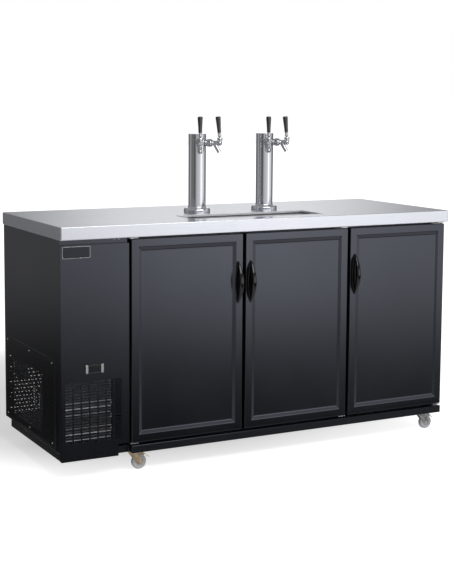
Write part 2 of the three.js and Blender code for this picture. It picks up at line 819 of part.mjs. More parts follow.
function buildEvaporator() {
  const inset = shellWall + seatGap + linerSheet;
  const x = shellLeft + inset + seatGap;
  const y = backY - inset - evaporatorBackInset - evaporatorLength;
  const z = shellTop - inset - evaporatorTopInset - evaporatorHeight;
  const hubStart = evaporatorWidth - evaporatorFanDepth + evaporatorMotorLength + seatGap;
  const blades = fan(evaporatorFanRadius, fanHubRadius, fanHubLength);
  const blower = piece('evaporator_fan', blades, blackPlastic);
  blower.rotation.y = quarterTurn;
  return placed(x, y, z,
    piece('evaporator_housing', evaporatorHousing(), linerMetal),
    placed(hubStart + fanHubLength / 2, evaporatorLength / 2, evaporatorHeight / 2, blower));
}

// Doors

/** Solid door with a sunk front panel, a raised inner liner and a pin hole at its top and foot. */
function doorPanel(pivotX) {
  const [w, t, h] = [doorWidth, doorThickness, doorHeight];
  const slab = block(0, w, 0, t, 0, h);
  const panelEdge = 2 * doorFrameWidth;
  const sunk = draftedBlock(w - panelEdge, h - panelEdge, doorPanelDepth, doorBevelWidth);
  const linerEdge = 2 * doorLinerInset;
  const linerDepth = doorLinerDepth + lapDepth;
  const liner = draftedBlock(w - linerEdge, h - linerEdge, linerDepth, doorLinerDraft);
  const hole = bar(boreFor(pivotRadius, runGap, pinSides), -cutOverrun, pivotReach + runGap, pinSides);
  const lower = hole.translate([pivotX, pivotDepth, 0]);
  const upper = hole.mirror([0, 0, 1]).translate([pivotX, pivotDepth, h]);
  return slab
    .subtract(toBack(sunk).translate([w / 2, 0, h / 2]))
    .add(toBack(liner).translate([w / 2, t - lapDepth, h / 2]))
    .subtract(lower.add(upper));
}

/** Door seal: a flat ring on the back of the door. */
function doorGasket() {
  const ring = roundedRectangle(
    doorWidth - 2 * gasketInset, doorHeight - 2 * gasketInset, gasketWidth / 2);
  const [x, y] = [
    doorWidth / 2 - gasketInset - gasketWidth, doorHeight / 2 - gasketInset - gasketWidth];
  ring.holes.push(new THREE.Path(shapeOf([[-x, -y], [x, -y], [x, y], [-x, y]]).getPoints()));
  return upright(ring, gasketThickness - 2 * seatGap);
}

/** Points of a bow that rises by its reach from a line and falls back to it over its span. */
function bowPoints(foot, reach, from, to) {
  const points = [];
  for (let i = 0; i <= bowSteps; i += 1) {
    const share = i / bowSteps;
    points.push([foot + reach * Math.sin(halfTurn * share), from + (to - from) * share]);
  }
  return points;
}

/** Bow handle: a leaf-shaped plate and bow, wide in the middle; the door's face is at Y zero. */
function doorHandle() {
  const half = handleLength / 2;
  const gapHalf = half - handleFootLength;
  const bowReach = handleReach - handlePlateThickness;
  const bow = shapeOf([
    [0, -half], [0, half], ...bowPoints(handlePlateThickness, bowReach, half, -half)]);
  const gap = bowPoints(handlePlateThickness, bowReach - handleBowThickness, -gapHalf, gapHalf);
  bow.holes.push(new THREE.Path(shapeOf(gap).getPoints()));
  const swell = (handleMidWidth - handleEndWidth) / 2;
  const rightEdge = [];
  for (let i = 0; i <= leafSteps; i += 1) {
    const share = i / leafSteps;
    const width = handleEndWidth / 2 + swell * Math.sin(halfTurn * share);
    rightEdge.push([width, -half + handleLength * share]);
  }
  const leftEdge = rightEdge.map(([x, z]) => [-x, z]).reverse();
  const side = sideways(bow, handleMidWidth).mirror([0, 1, 0]);
  const front = upright([...rightEdge, ...leftEdge], handleReach + cutOverrun);
  return side.translate([-handleMidWidth / 2, -seatGap, 0])
    .intersect(front.translate([0, -handleReach - cutOverrun / 2, 0]));
}

/** Lower hinge bracket; the origin is on the pin axis at the lower edge of the door. */
function hingeBracket(inward) {
  const top = -bracketDrop;
  const near = -inward * (pivotInset + bracketThickness);
  const far = near + inward * bracketWidth;
  const [x0, x1] = [Math.min(near, far), Math.max(near, far)];
  const back = shellFrontY - faceY - pivotDepth - seatGap;
  const foot = top - bracketThickness;
  const tongue = block(x0, x1, -bracketNose, back, foot, top);
  const leg = block(x0, x1, back - bracketThickness, back, foot, foot + bracketLegHeight);
  const pin = bar(pivotRadius, top - lapDepth, pivotReach, pinSides);
  const washer = bar(pivotRadius + bracketThickness, top - lapDepth, -seatGap, pinSides);
  return joined([tongue, leg, pin, washer]);
}

function buildDoor(name, index, hingeOnLeft) {
  const x = doorsLeft + index * (doorWidth + doorGap);
  const inward = hingeOnLeft ? 1 : -1;
  const pivotX = hingeOnLeft ? pivotInset : doorWidth - pivotInset;
  const handleX = hingeOnLeft ? doorWidth - handleInset : handleInset;
  const handleZ = doorHeight - handleDrop - handleLength / 2;
  const bracket = hingeBracket(inward);
  return placed(x, faceY, doorBottom,
    piece(`${name}_door`, doorPanel(pivotX), blackPaint),
    placed(doorWidth / 2, doorThickness + seatGap, doorHeight / 2,
      piece(`${name}_door_gasket`, doorGasket(), greyRubber)),
    placed(handleX, 0, handleZ, piece(`${name}_door_handle`, doorHandle(), glossBlack)),
    placed(pivotX, pivotDepth, 0, piece(`${name}_door_lower_hinge`, bracket, zincSteel)),
    placed(pivotX, pivotDepth, doorHeight,
      piece(`${name}_door_upper_hinge`, bracket.mirror([0, 0, 1]), zincSteel)));
}

// Tap towers

/** Quarter circle of profile points that rounds the top edge of a flange. */
function roundedEdge(radius, height, round) {
  const points = [];
  for (let i = 0; i <= edgeSteps; i += 1) {
    const angle = (quarterTurn * i) / edgeSteps;
    points.push([radius - round + round * Math.cos(angle), height - round + round * Math.sin(angle)]);
  }
  return points;
}

/** Column with its flange and cap, bored for the shanks of its faucets. */
function towerColumn() {
  const capFloor = towerHeight - capHeight;
  const column = turned([
    [0, 0],
    [flangeRadius, 0],
    ...roundedEdge(flangeRadius, flangeHeight, flangeRound),
    [columnRadius + flangeNeck, flangeHeight],
    [columnRadius, flangeHeight + flangeNeck],
    [columnRadius, capFloor - capGroove],
    [columnRadius - capGroove, capFloor - capGroove],
    [columnRadius - capGroove, capFloor],
    [columnRadius, capFloor],
    [columnRadius, towerHeight - capEdge],
    [columnRadius - capEdge, towerHeight],
    [0, towerHeight],
  ], columnSides);
  const socket = bar(
    boreFor(shankRadius, seatGap, faucetSides), columnRadius - shankDepth - seatGap,
    columnRadius + cutOverrun, faucetSides);
  const bore = toRight(socket).translate([0, 0, towerHeight - faucetDrop]);
  return column.subtract(joined(faucetDirections().map((angle) => bore.rotate([0, 0, angle]))));
}

/** Directions of the two faucets of a tower, in degrees from +X. */
function faucetDirections() {
  const front = towerTurn - rightAngle;
  return [front - faucetSpread, front + faucetSpread];
}

/** Faucet: shank, collar, coupling nut, barrel, bonnet and slanted spout, pointing to +X. */
function faucetBody() {
  const collarStart = columnRadius + seatGap;
  const nutEnd = nutStart + nutLength;
  const barrel = toRight(turned([
    [0, columnRadius - shankDepth],
    [shankRadius, columnRadius - shankDepth],
    [shankRadius, collarStart],
    [collarRadius, collarStart],
    [collarRadius, nutStart],
    [nutRadius, nutStart],
    [nutRadius, nutEnd - nutChamfer],
    [nutRadius - nutChamfer, nutEnd],
    [barrelRadius, nutEnd],
    [barrelFrontRadius, barrelWaist],
    [barrelFrontRadius, barrelEnd - barrelNose],
    [barrelFrontRadius - barrelNose, barrelEnd],
    [0, barrelEnd],
  ], faucetSides));
  const bonnet = bar(bonnetRadius, 0, bonnetHeight, faucetSides).translate([leverReach, 0, 0]);
  const mouth = turned([
    [0, pivotHeight - ballRadius - seatGap],
    [bonnetBore, pivotHeight - ballRadius - seatGap],
    [bonnetBore, pivotHeight],
    [bonnetMouth, bonnetHeight + cutOverrun],
    [0, bonnetHeight + cutOverrun],
  ], faucetSides).translate([leverReach, 0, 0]);
  const slant = radians(spoutSlant);
  const length = spoutDrop / Math.cos(slant);
  const spout = bar(spoutRadius, -length, 0, faucetSides);
  const outlet = bar(spoutBore, -length - cutOverrun, spoutBoreDepth - length, pinSides);
  const spoutRoot = spoutReach - spoutDrop * Math.tan(slant);
  return joined([barrel, bonnet, spout.rotate([0, -spoutSlant, 0]).translate([spoutRoot, 0, 0])])
    .subtract(mouth)
    .subtract(outlet.rotate([0, -spoutSlant, 0]).translate([spoutRoot, 0, 0]));
}

/** Lever with its ball, neck and ferrule; the origin is the pivot. */
function faucetLever() {
  return turned([
    [0, -ballRadius],
    [ballRadius, 0],
    [neckRadius, neckRadius],
    [neckRadius, ferruleStart - ferruleTaper],
    [ferruleRadius, ferruleStart],
    [ferruleRadius, ferruleEnd],
    [studRadius, ferruleEnd],
    [studRadius, ferruleEnd + studLength],
    [0, ferruleEnd + studLength],
  ], pinSides);
}

/** Tapered tap handle with a crowned top and a bore for the stud; the origin is on its foot. */
function tapHandle() {
  const bore = boreFor(studRadius, seatGap, faucetSides);
  return turned([
    [bore, 0],
    [tapHandleFootRadius, 0],
    [tapHandleFootRadius, tapHandleNeckHeight],
    [tapHandleTopRadius, tapHandleShoulder],
    [tapHandleTopRadius, tapHandleLength - tapHandleCrown],
    [tapHandleTopRadius - tapHandleCrown, tapHandleLength],
    [0, tapHandleLength],
    [0, studLength + seatGap],
    [bore, studLength + seatGap],
    [bore, 0],
  ], faucetSides);
}

function buildTower(side, x) {
  const tower = placed(x, towerY, towerFloor, piece(`${side}_tower`, towerColumn(), brushedSteel));
  faucetDirections().forEach((angle, index) => {
    const label = faucetLabels[index];
    const grip = piece(`${side}_tap_handle_${label}`, tapHandle(), glossBlack);
    const lever = placed(leverReach, 0, pivotHeight,
      piece(`${side}_lever_${label}`, faucetLever(), polishedSteel),
      placed(0, 0, ferruleEnd + seatGap, grip));
    lever.rotation.y = -radians(leverLean);
    const faucet = placed(0, 0, towerHeight - faucetDrop,
      piece(`${side}_faucet_${label}`, faucetBody(), polishedSteel), lever);
    faucet.rotation.z = radians(angle);
    tower.add(faucet);
  });
  return tower;
}

// Castors

/** Top plate with the bearing race under it; the origin is under the middle of the plate's top. */
function castorPlate() {
  const half = castorPlateSize / 2;
  const race = bar(
    castorRaceRadius, -castorPlateThickness - castorRaceHeight, lapDepth - castorPlateThickness,
    faucetSides);
  return block(-half, half, -half, half, -castorPlateThickness, 0).add(race);
}

/** Swivel fork with two legs and the axle; the origin is on the swivel axis, at axle height. */
function castorFork(hasPedal) {
  const top = forkTop - wheelRadius;
  const disc = bar(forkDiscRadius, top - forkDiscHeight, top, faucetSides);
  const half = forkLegTopWidth / 2;
  const leg = new THREE.Shape();
  leg.moveTo(half, top - lapDepth);
  leg.lineTo(-half, top - lapDepth);
  leg.absarc(castorTrail, 0, forkLegFootRadius, halfTurn, 2 * halfTurn, false);
  if (hasPedal) {
    const earX = castorTrail + pedalPivotX;
    leg.absarc(earX, pedalPivotZ, pedalEarRadius, -quarterTurn / 2, quarterTurn, false);
  }
  const inner = forkInnerGap / 2;
  const legs = [-inner - forkLegThickness, inner].map(
    (y) => upright(leg, forkLegThickness, legSteps).translate([0, y, 0]));
  const axle = toBack(bar(axleRadius, -inner - lapDepth, inner + lapDepth, pinSides));
  const fork = joined([disc, ...legs, axle.translate([castorTrail, 0, 0])]);
  if (!hasPedal) return fork;
  const reach = inner + forkLegThickness + cutOverrun;
  const hole = toBack(bar(boreFor(pedalPinRadius, seatGap, pinSides), -reach, reach, pinSides));
  return fork.subtract(hole.translate([castorTrail + pedalPivotX, 0, pedalPivotZ]));
}

/** Wheel round the Y axis with a rounded tread, resting on a flat of its own outline. */
function castorWheel() {
  const half = wheelWidth / 2;
  const bore = boreFor(axleRadius, seatGap, wheelSides);
  const radius = wheelRadius / Math.cos(halfTurn / wheelSides);
  return toBack(turned([
    [bore, -half],
    [radius - wheelTreadRound, -half],
    [radius, wheelTreadRound - half],
    [radius, half - wheelTreadRound],
    [radius - wheelTreadRound, half],
    [bore, half],
    [bore, -half],
  ], wheelSides, halfTurn / wheelSides));
}

/** Brake pedal with its pin; the origin is on the pin. */
function brakePedal() {
  const reach = forkInnerGap / 2 + forkLegThickness;
  const pin = toBack(bar(pedalPinRadius, -reach, reach, pinSides));
  const arm = block(
    0, pedalReach, -pedalWidth / 2, pedalWidth / 2, -pedalThickness / 2, pedalThickness / 2);
  const tread = block(
    pedalReach - pedalTreadLength, pedalReach, -pedalTreadWidth / 2, pedalTreadWidth / 2,
    -pedalThickness / 2, pedalThickness);
  return pin.add(arm.add(tread).rotate([0, pedalSlope, 0]));
}

function buildCastor(side, x, y) {
  const hasPedal = side.startsWith('front');
  const plateTop = castorHeight - seatGap - wheelRadius;
  const castor = placed(x, y, wheelRadius,
    placed(0, 0, plateTop, piece(`${side}_castor_plate`, castorPlate(), zincSteel)),
    piece(`${side}_castor_fork`, castorFork(hasPedal), zincSteel),
    placed(castorTrail, 0, 0, piece(`${side}_castor_wheel`, castorWheel(), castorTyre)));
  if (hasPedal) {
    castor.add(placed(castorTrail + pedalPivotX, 0, pedalPivotZ,
      piece(`${side}_brake_pedal`, brakePedal(), zincSteel)));
  }
  return castor;
}

// The whole object

const kegerator = new THREE.Group();
kegerator.position.y = frameShift;
kegerator.add(buildCabinet(), buildMachineCompartment(), buildEvaporator());
['left', 'middle', 'right'].forEach((name, index) => {
  kegerator.add(buildDoor(name, index, index === 0));
});
kegerator.add(
  buildTower('left', towerCentreX - towerSpacing / 2),
  buildTower('right', towerCentreX + towerSpacing / 2));
for (const [side, x] of [['left', shellLeft + castorLeftX], ['right', cabinetRight - castorRightX]]) {
  kegerator.add(
    buildCastor(`front_${side}`, x, faceY + castorInsetY),
    buildCastor(`rear_${side}`, x, backY - baseBackStep - castorInsetY));
}

export default kegerator;
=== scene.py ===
"""A keg cooler with three doors, steel worktop and two tap towers, dressed over its frame."""

import functools
import logging
import math
from dataclasses import dataclass
from enum import Enum
from typing import Any, Iterable, Sequence

import bmesh
import bpy
import numpy as np
from mathutils import Matrix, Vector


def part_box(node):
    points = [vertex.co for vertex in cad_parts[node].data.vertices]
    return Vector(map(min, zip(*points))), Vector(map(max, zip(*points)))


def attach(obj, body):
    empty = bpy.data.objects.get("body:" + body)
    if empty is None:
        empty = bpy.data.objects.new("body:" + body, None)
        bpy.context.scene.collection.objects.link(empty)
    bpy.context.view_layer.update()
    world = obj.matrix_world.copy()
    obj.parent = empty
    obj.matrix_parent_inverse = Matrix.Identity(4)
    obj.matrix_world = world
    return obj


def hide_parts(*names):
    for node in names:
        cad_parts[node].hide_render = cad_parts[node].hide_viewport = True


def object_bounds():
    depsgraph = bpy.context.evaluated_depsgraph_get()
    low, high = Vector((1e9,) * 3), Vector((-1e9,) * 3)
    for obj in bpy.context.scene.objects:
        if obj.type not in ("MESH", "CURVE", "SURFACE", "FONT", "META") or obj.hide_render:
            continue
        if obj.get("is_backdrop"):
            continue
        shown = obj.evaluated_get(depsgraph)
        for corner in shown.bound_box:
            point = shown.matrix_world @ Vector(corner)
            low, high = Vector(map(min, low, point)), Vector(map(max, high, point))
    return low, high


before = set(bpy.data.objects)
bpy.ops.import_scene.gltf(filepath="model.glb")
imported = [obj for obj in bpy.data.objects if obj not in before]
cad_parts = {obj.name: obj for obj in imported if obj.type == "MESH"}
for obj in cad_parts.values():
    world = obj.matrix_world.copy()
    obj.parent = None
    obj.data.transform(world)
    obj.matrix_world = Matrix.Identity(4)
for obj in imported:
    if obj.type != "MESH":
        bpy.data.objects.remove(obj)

log = logging.getLogger("keg_cooler")

# Sizes are in millimetres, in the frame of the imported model, unless their comment says otherwise.
MILLIMETRE = 0.001
ROUND_SIDES = 72
SMALL_SIDES = 24
# Degrees from which an edge is sharp, and from which the bevel of a copied piece breaks it.
SHARP_ANGLE = 32.0
BEVEL_ANGLE = 30.0
# A ring smaller than this is a point and gets no cap.
POINT_SIZE = 1e-3
# A rounded corner takes less than half of each side next to it.
CORNER_SHARE = 0.48
# Points of a mesh closer than this, in metres, become one.
MERGE_DISTANCE = 1e-6

Array = np.ndarray
Colour = tuple[float, float, float]


# Shapes


@dataclass(frozen=True)
class Form:
    """Points in millimetres and the faces between them.

    Attributes:
        points: One row for each point.
        faces: The point numbers of each face.
    """

    points: Array
    faces: list[list[int]]

    def __add__(self, other: "Form") -> "Form":
        """Both forms as one."""
        shifted = [[number + len(self.points) for number in face] for face in other.faces]
        return Form(np.concatenate([self.points, other.points]), self.faces + shifted)

    def moved(self, x: float = 0.0, y: float = 0.0, z: float = 0.0) -> "Form":
        """The form moved by three lengths."""
        return Form(self.points + np.array([x, y, z]), self.faces)

    def turned(self, degrees: float, axis: str = "Z") -> "Form":
        """The form turned about an axis through the origin."""
        turn = np.array(Matrix.Rotation(math.radians(degrees), 3, axis))
        return Form(self.points @ turn.T, self.faces)

    def to_front(self) -> "Form":
        """A form drawn upwards, so that it rises to the front instead: X stays, Y becomes up."""
        return Form(self.points @ np.array([[1, 0, 0], [0, 0, 1], [0, -1, 0]], float), self.faces)

    def to_right(self) -> "Form":
        """A form drawn upwards, so that it rises to the right instead."""
        return self.turned(90, "Y")


def joined(forms: Iterable[Form]) -> Form:
    """Several forms as one."""
    return functools.reduce(Form.__add__, forms)


def bridged(rings: Array, closed: bool = False) -> Form:
    """Quads between neighbouring rings of points, with a flat cap at each open end.

    Args:
        rings: Ring, point on the ring, and coordinate.
        closed: Whether the last ring joins the first one, as on a frame or a coil.

    Returns:
        The surface through all the rings.
    """
    count, size, _ = rings.shape
    number = np.arange(count * size).reshape(count, size)
    lower = number if closed else number[:-1]
    upper = np.roll(number, -1, axis=0) if closed else number[1:]
    corners = [lower, np.roll(lower, -1, axis=1), np.roll(upper, -1, axis=1), upper]
    faces = np.stack(corners, axis=-1).reshape(-1, 4).tolist()
    if not closed:
        for ring, order in ((0, -1), (-1, 1)):
            if np.ptp(rings[ring], axis=0).max() > POINT_SIZE:
                faces.append(number[ring, ::order].tolist())
    return Form(rings.reshape(-1, 3), faces)


def softened(profile: Sequence[Sequence[float]], radius: Any = 1.0, steps: int = 4) -> Array:
    """A profile whose corners are rounded.

    Each corner p between two points a and b on its sides, a radius away from it or nearly half a
    side, becomes the parabola (1 - t)^2 a + 2 t (1 - t) p + t^2 b.

    Args:
        profile: Points of the profile, two numbers each.
        radius: One length, or one for each corner between the ends.
        steps: Pieces of each rounded corner.

    Returns:
        The points of the new profile.
    """
    points = np.asarray(profile, float)
    corner = points[1:-1]
    side = np.stack([points[:-2], points[2:]]) - corner
    length = np.linalg.norm(side, axis=-1, keepdims=True)
    reach = np.broadcast_to(np.asarray(radius, float), (len(corner),))[:, None]
    near = corner + side / np.maximum(length, 1e-9) * np.minimum(reach, CORNER_SHARE * length)
    start, end = near[:, :, None]
    t = np.linspace(0, 1, steps + 1)[None, :, None]
    arcs = (1 - t) ** 2 * start + 2 * t * (1 - t) * corner[:, None] + t**2 * end
    return np.concatenate([points[:1], arcs.reshape(-1, 2), points[-1:]])


def revolved(profile: Any, sides: int = ROUND_SIDES, closed: bool = False) -> Form:
    """Turns a profile about the Z axis: x = r cos a, y = r sin a, z = h.

    Args:
        profile: Radius r and height h of each point.
        sides: Steps of the angle a on the way round.
        closed: Whether the profile is a closed loop, as on a tyre.

    Returns:
        The surface.
    """
    outline = np.asarray(profile, float)
    angle = np.linspace(0, 2 * np.pi, sides, endpoint=False)
    radius, height = outline[:, :1], outline[:, 1:]
    rings = [radius * np.cos(angle), radius * np.sin(angle), height + 0 * angle]
    return bridged(np.stack(rings, axis=-1), closed)


def lathed(
    points: Sequence[Sequence[float]], radius: Any, steps: int = 3, sides: int = SMALL_SIDES
) -> Form:
    """A turned piece: a profile of (radius, height), softened and then revolved."""
    return revolved(softened(points, radius, steps), sides)


def level_rings(levels: Sequence[Sequence[float]], steps: int = 5) -> Array:
    """Rings of rounded rectangles, one on each level.

    A corner is the quarter circle c + r (cos a, sin a) round its centre c, which lies r inside
    both sides.

    Args:
        levels: Left, right, front, back, corner radius and height of each ring.
        steps: Pieces of each rounded corner.

    Returns:
        Ring, point on the ring, and coordinate.
    """
    left, right, front, back, radius, height = np.asarray(levels, float).T[:, :, None, None]
    quarter = np.arange(4)[None, :, None]
    angle = (quarter + np.linspace(0, 1, steps + 1)[None, None, :]) * np.pi / 2
    x = np.where((quarter == 0) | (quarter == 3), right - radius, left + radius)
    y = np.where(quarter < 2, back - radius, front + radius)
    rings = [x + radius * np.cos(angle), y + radius * np.sin(angle), height + 0 * angle]
    return np.stack(rings, axis=-1).reshape(len(height), -1, 3)


def framed(
    outline: Sequence[float], corner: float, profile: Array, closed: bool = False, steps: int = 5
) -> Form:
    """Carries a profile round a rounded rectangle.

    Args:
        outline: Left, right, front and back of the rectangle.
        corner: Radius of its corners.
        profile: How far inside the outline each ring lies, and its height.
        closed: Whether the profile is a closed loop, as on a seal.
        steps: Pieces of each rounded corner.

    Returns:
        The surface of the plate or frame.
    """
    inset, height = np.asarray(profile, float).T
    left, right, front, back = outline
    radius = np.full_like(inset, corner)
    levels = [left + inset, right - inset, front + inset, back - inset, radius, height]
    return bridged(level_rings(np.transpose(levels), steps), closed)


def plate(outline: Sequence[float], corner: float, bottom: float, top: float, edge: float) -> Form:
    """A flat plate with rounded corners and rounded edges."""
    profile = softened([[2 * edge, bottom], [0, bottom], [0, top], [2 * edge, top]], edge, 3)
    return framed(outline, corner, profile)


def swept(path: Array, section: Array, across: Sequence[float], scale: Array | None = None) -> Form:
    """Carries a section along a path.

    The section's first number runs along the fixed direction across and its second one along the
    path's tangent turned a quarter about it: point = path + s0 across + s1 (tangent x across).

    Args:
        path: Points of the path.
        section: Closed outline of the section, two numbers each.
        across: Direction square to the plane of the path.
        scale: Two factors for each point of the path, or none.

    Returns:
        The closed surface with both ends capped.
    """
    tangent = np.gradient(path, axis=0)
    side = np.broadcast_to(np.asarray(across, float), path.shape)
    normal = np.cross(tangent, side)
    normal /= np.linalg.norm(normal, axis=1, keepdims=True)
    factor = np.ones((len(path), 2)) if scale is None else scale
    first = (section[None, :, 0] * factor[:, :1])[..., None] * side[:, None]
    second = (section[None, :, 1] * factor[:, 1:])[..., None] * normal[:, None]
    return bridged(path[:, None] + first + second)


def oval(width: float, height: float, power: float = 2.0, sides: int = SMALL_SIDES) -> Array:
    """A closed oval: |2x / width|^p + |2y / height|^p = 1, a circle's form where p is 2.

    Args:
        width: Size along the first axis.
        height: Size along the second axis.
        power: The power p, which squares the oval off where it is large.
        sides: Points of the outline.

    Returns:
        The outline, two numbers for each point.
    """
    angle = np.linspace(0, 2 * np.pi, sides, endpoint=False)
    way = np.stack([np.cos(angle), np.sin(angle)], axis=-1)
    return np.sign(way) * np.abs(way) ** (2 / power) * np.array([width, height]) / 2


def curve(points: Sequence[Sequence[float]], steps: int = 8) -> Array:
    """A smooth path through some points.

    Between two points it is the cubic (2t^3 - 3t^2 + 1) p + (t^3 - 2t^2 + t) m +
    (3t^2 - 2t^3) q + (t^3 - t^2) n, where m and n are the slopes at p and q, half the step
    between their neighbours.

    Args:
        points: Three numbers for each point.
        steps: Pieces between two points.

    Returns:
        The points of the path.
    """
    knots = np.asarray(points, float)
    slope = np.gradient(knots, axis=0)
    t = np.linspace(0, 1, steps, endpoint=False)[None, :, None]
    p, q, m, n = (part[:, None] for part in (knots[:-1], knots[1:], slope[:-1], slope[1:]))
    spans = (2 * t**3 - 3 * t**2 + 1) * p + (t**3 - 2 * t**2 + t) * m
    spans = spans + (3 * t**2 - 2 * t**3) * q + (t**3 - t**2) * n
    return np.concatenate([spans.reshape(-1, 3), knots[-1:]])


def hoop(radius: float, wire: float) -> Form:
    """A ring of round wire about the Z axis; the wire's size is its radius."""
    return revolved(oval(2 * wire, 2 * wire, sides=8) + [radius, 0], 48, closed=True)


def screw_head(radius: float, height: float) -> Form:
    """A domed screw head with a small recess, on the XY plane.

    Args:
        radius: Radius of the head.
        height: Height of its dome.

    Returns:
        The head, with its foot 1 mm under the plane.
    """
    profile = [[0, -1], [radius, -1], [radius, 0.35 * height], [0.55 * radius, height],
               [0.3 * radius, height], [0.24 * radius, 0.4 * height], [0, 0.4 * height]]
    return lathed(profile, 0.3 * radius)


def hex_nut(radius: float, height: float) -> Form:
    """A chamfered six-sided nut with a domed end, on the XY plane.

    Args:
        radius: Radius of its corners.
        height: Height of its six sides.

    Returns:
        The nut and the dome.
    """
    nut = [[0, 0], [radius, 0], [radius, 0.8 * height], [0.86 * radius, height], [0, height]]
    dome = [[0, 0.9 * height], [0.5 * radius, 0.9 * height], [0.45 * radius, 1.35 * height],
            [0, 1.5 * height]]
    return revolved(nut, 6) + lathed(dome, 0.2 * radius)


def node_box(node: str) -> tuple[Array, Array]:
    """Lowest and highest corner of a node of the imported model, in millimetres."""
    low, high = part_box(node)
    return np.array(low) / MILLIMETRE, np.array(high) / MILLIMETRE


def facing(node: str) -> list[float]:
    """Left, right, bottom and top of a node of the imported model, as the front shows it."""
    low, high = node_box(node)
    return [low[0], high[0], low[2], high[2]]


# Materials


class Value:
    """An output of a shader node, on which arithmetic adds Math nodes."""

    def __init__(self, shader: "Shader", socket: bpy.types.NodeSocket) -> None:
        """Keeps the shader that owns the socket."""
        self.shader = shader
        self.socket = socket

    def _math(self, operation: str, first: Any, second: Any = 0.0) -> "Value":
        """The result of one Math node."""
        return self.shader.node("ShaderNodeMath", {"operation": operation}, {0: first, 1: second})

    def __add__(self, other: Any) -> "Value":
        """Sum."""
        return self._math("ADD", self, other)

    def __radd__(self, other: Any) -> "Value":
        """Sum with a number on the left."""
        return self._math("ADD", other, self)

    def __sub__(self, other: Any) -> "Value":
        """Difference."""
        return self._math("SUBTRACT", self, other)

    def __rsub__(self, other: Any) -> "Value":
        """Difference from a number on the left."""
        return self._math("SUBTRACT", other, self)

    def __mul__(self, other: Any) -> "Value":
        """Product."""
        return self._math("MULTIPLY", self, other)

    def __rmul__(self, other: Any) -> "Value":
        """Product with a number on the left."""
        return self._math("MULTIPLY", other, self)

    def between(self, low: float, high: float) -> "Value":
        """Smooth step.

        Args:
            low: Where it is 0.
            high: Where it is 1, which may be the smaller one.

        Returns:
            The step, from 0 to 1.
        """
        settings = {"interpolation_type": "SMOOTHSTEP"}
        inputs = {"Value": self, "From Min": low, "From Max": high}
        return self.shader.node("ShaderNodeMapRange", settings, inputs)

    def larger(self, other: Any) -> "Value":
        """The larger of two values."""
        return self._math("MAXIMUM", self, other)


class Shader:
    """Builds the node tree of one material or of the world."""

    def __init__(self, tree: bpy.types.NodeTree) -> None:
        """Starts on an empty tree."""
        tree.nodes.clear()
        self.tree = tree

    def node(
        self,
        kind: str,
        settings: dict[str, Any] | None = None,
        inputs: dict[Any, Any] | None = None,
        output: Any = 0,
    ) -> Value:
        """Adds a node.

        Args:
            kind: Type of the node.
            settings: Properties, set before the sockets; stops holds a ramp's places and colours.
            inputs: Number, colour or Value for each socket, by name or number.
            output: Name or number of the output that is wanted.

        Returns:
            That output.
        """
        made = self.tree.nodes.new(kind)
        for name, value in (settings or {}).items():
            if name == "stops":
                elements = made.color_ramp.elements
                while len(elements) < len(value):
                    elements.new(0.5)
                for element, (place, shade) in zip(elements, value):
                    element.position = place
                    element.color = (shade, shade, shade, 1)
            else:
                setattr(made, name, value)
        for name, value in (inputs or {}).items():
            if isinstance(value, Value):
                self.tree.links.new(value.socket, made.inputs[name])
            else:
                made.inputs[name].default_value = value
        return Value(self, made.outputs[output])

    def place(
        self, scale: Sequence[float] = (1, 1, 1), shift: Sequence[float] = (0, 0, 0)
    ) -> Value:
        """The object coordinates, in metres, shifted and stretched.

        Args:
            scale: Factor on each axis, after the shift.
            shift: Metres on each axis.

        Returns:
            The coordinates.
        """
        here = self.node("ShaderNodeTexCoord", output="Object")
        moved = self.node("ShaderNodeVectorMath", {"operation": "ADD"}, {0: here, 1: shift})
        return self.node("ShaderNodeVectorMath", {"operation": "MULTIPLY"}, {0: moved, 1: scale})

    def noise(
        self, scale: float, detail: float, roughness: float = 0.5,
        stretch: Sequence[float] = (1, 1, 1)
    ) -> Value:
        """A noise texture.

        Args:
            scale: Its marks on a metre.
            detail: How many finer layers lie over them.
            roughness: Strength of those layers.
            stretch: Factor for the marks on each axis.

        Returns:
            The texture, between 0 and 1.
        """
        inputs = {"Scale": scale, "Detail": detail, "Roughness": roughness}
        inputs["Vector"] = self.place(stretch)
        return self.node("ShaderNodeTexNoise", {"normalize": True}, inputs)

    def mixed(self, factor: Any, first: Any, second: Any) -> Value:
        """A colour between two others.

        Args:
            factor: Share of the second colour.
            first: Plain colour or Value.
            second: Plain colour or Value.

        Returns:
            The colour.
        """
        first, second = (end if isinstance(end, Value) else (*end, 1) for end in (first, second))
        inputs = {"Factor": factor, "A": first, "B": second}
        return self.node("ShaderNodeMix", {"data_type": "RGBA"}, inputs, 2)

    def bump(self, height: Value, strength: float, distance: float) -> Value:
        """A normal from a height; the distance is in metres."""
        inputs = {"Height": height, "Strength": strength, "Distance": distance}
        return self.node("ShaderNodeBump", None, inputs)

    def surface(self, **sockets: Any) -> None:
        """Ends the tree in a Principled surface; a name's underscores stand for spaces."""
        inputs = {name.replace("_", " "): value for name, value in sockets.items()}
        self.ended("Material", self.node("ShaderNodeBsdfPrincipled", None, inputs))

    def ended(self, kind: str, shader: Value) -> None:
        """Adds the output node of the tree, of a material or a world."""
        made = self.tree.nodes.new(f"ShaderNodeOutput{kind}")
        self.tree.links.new(shader.socket, made.inputs["Surface"])


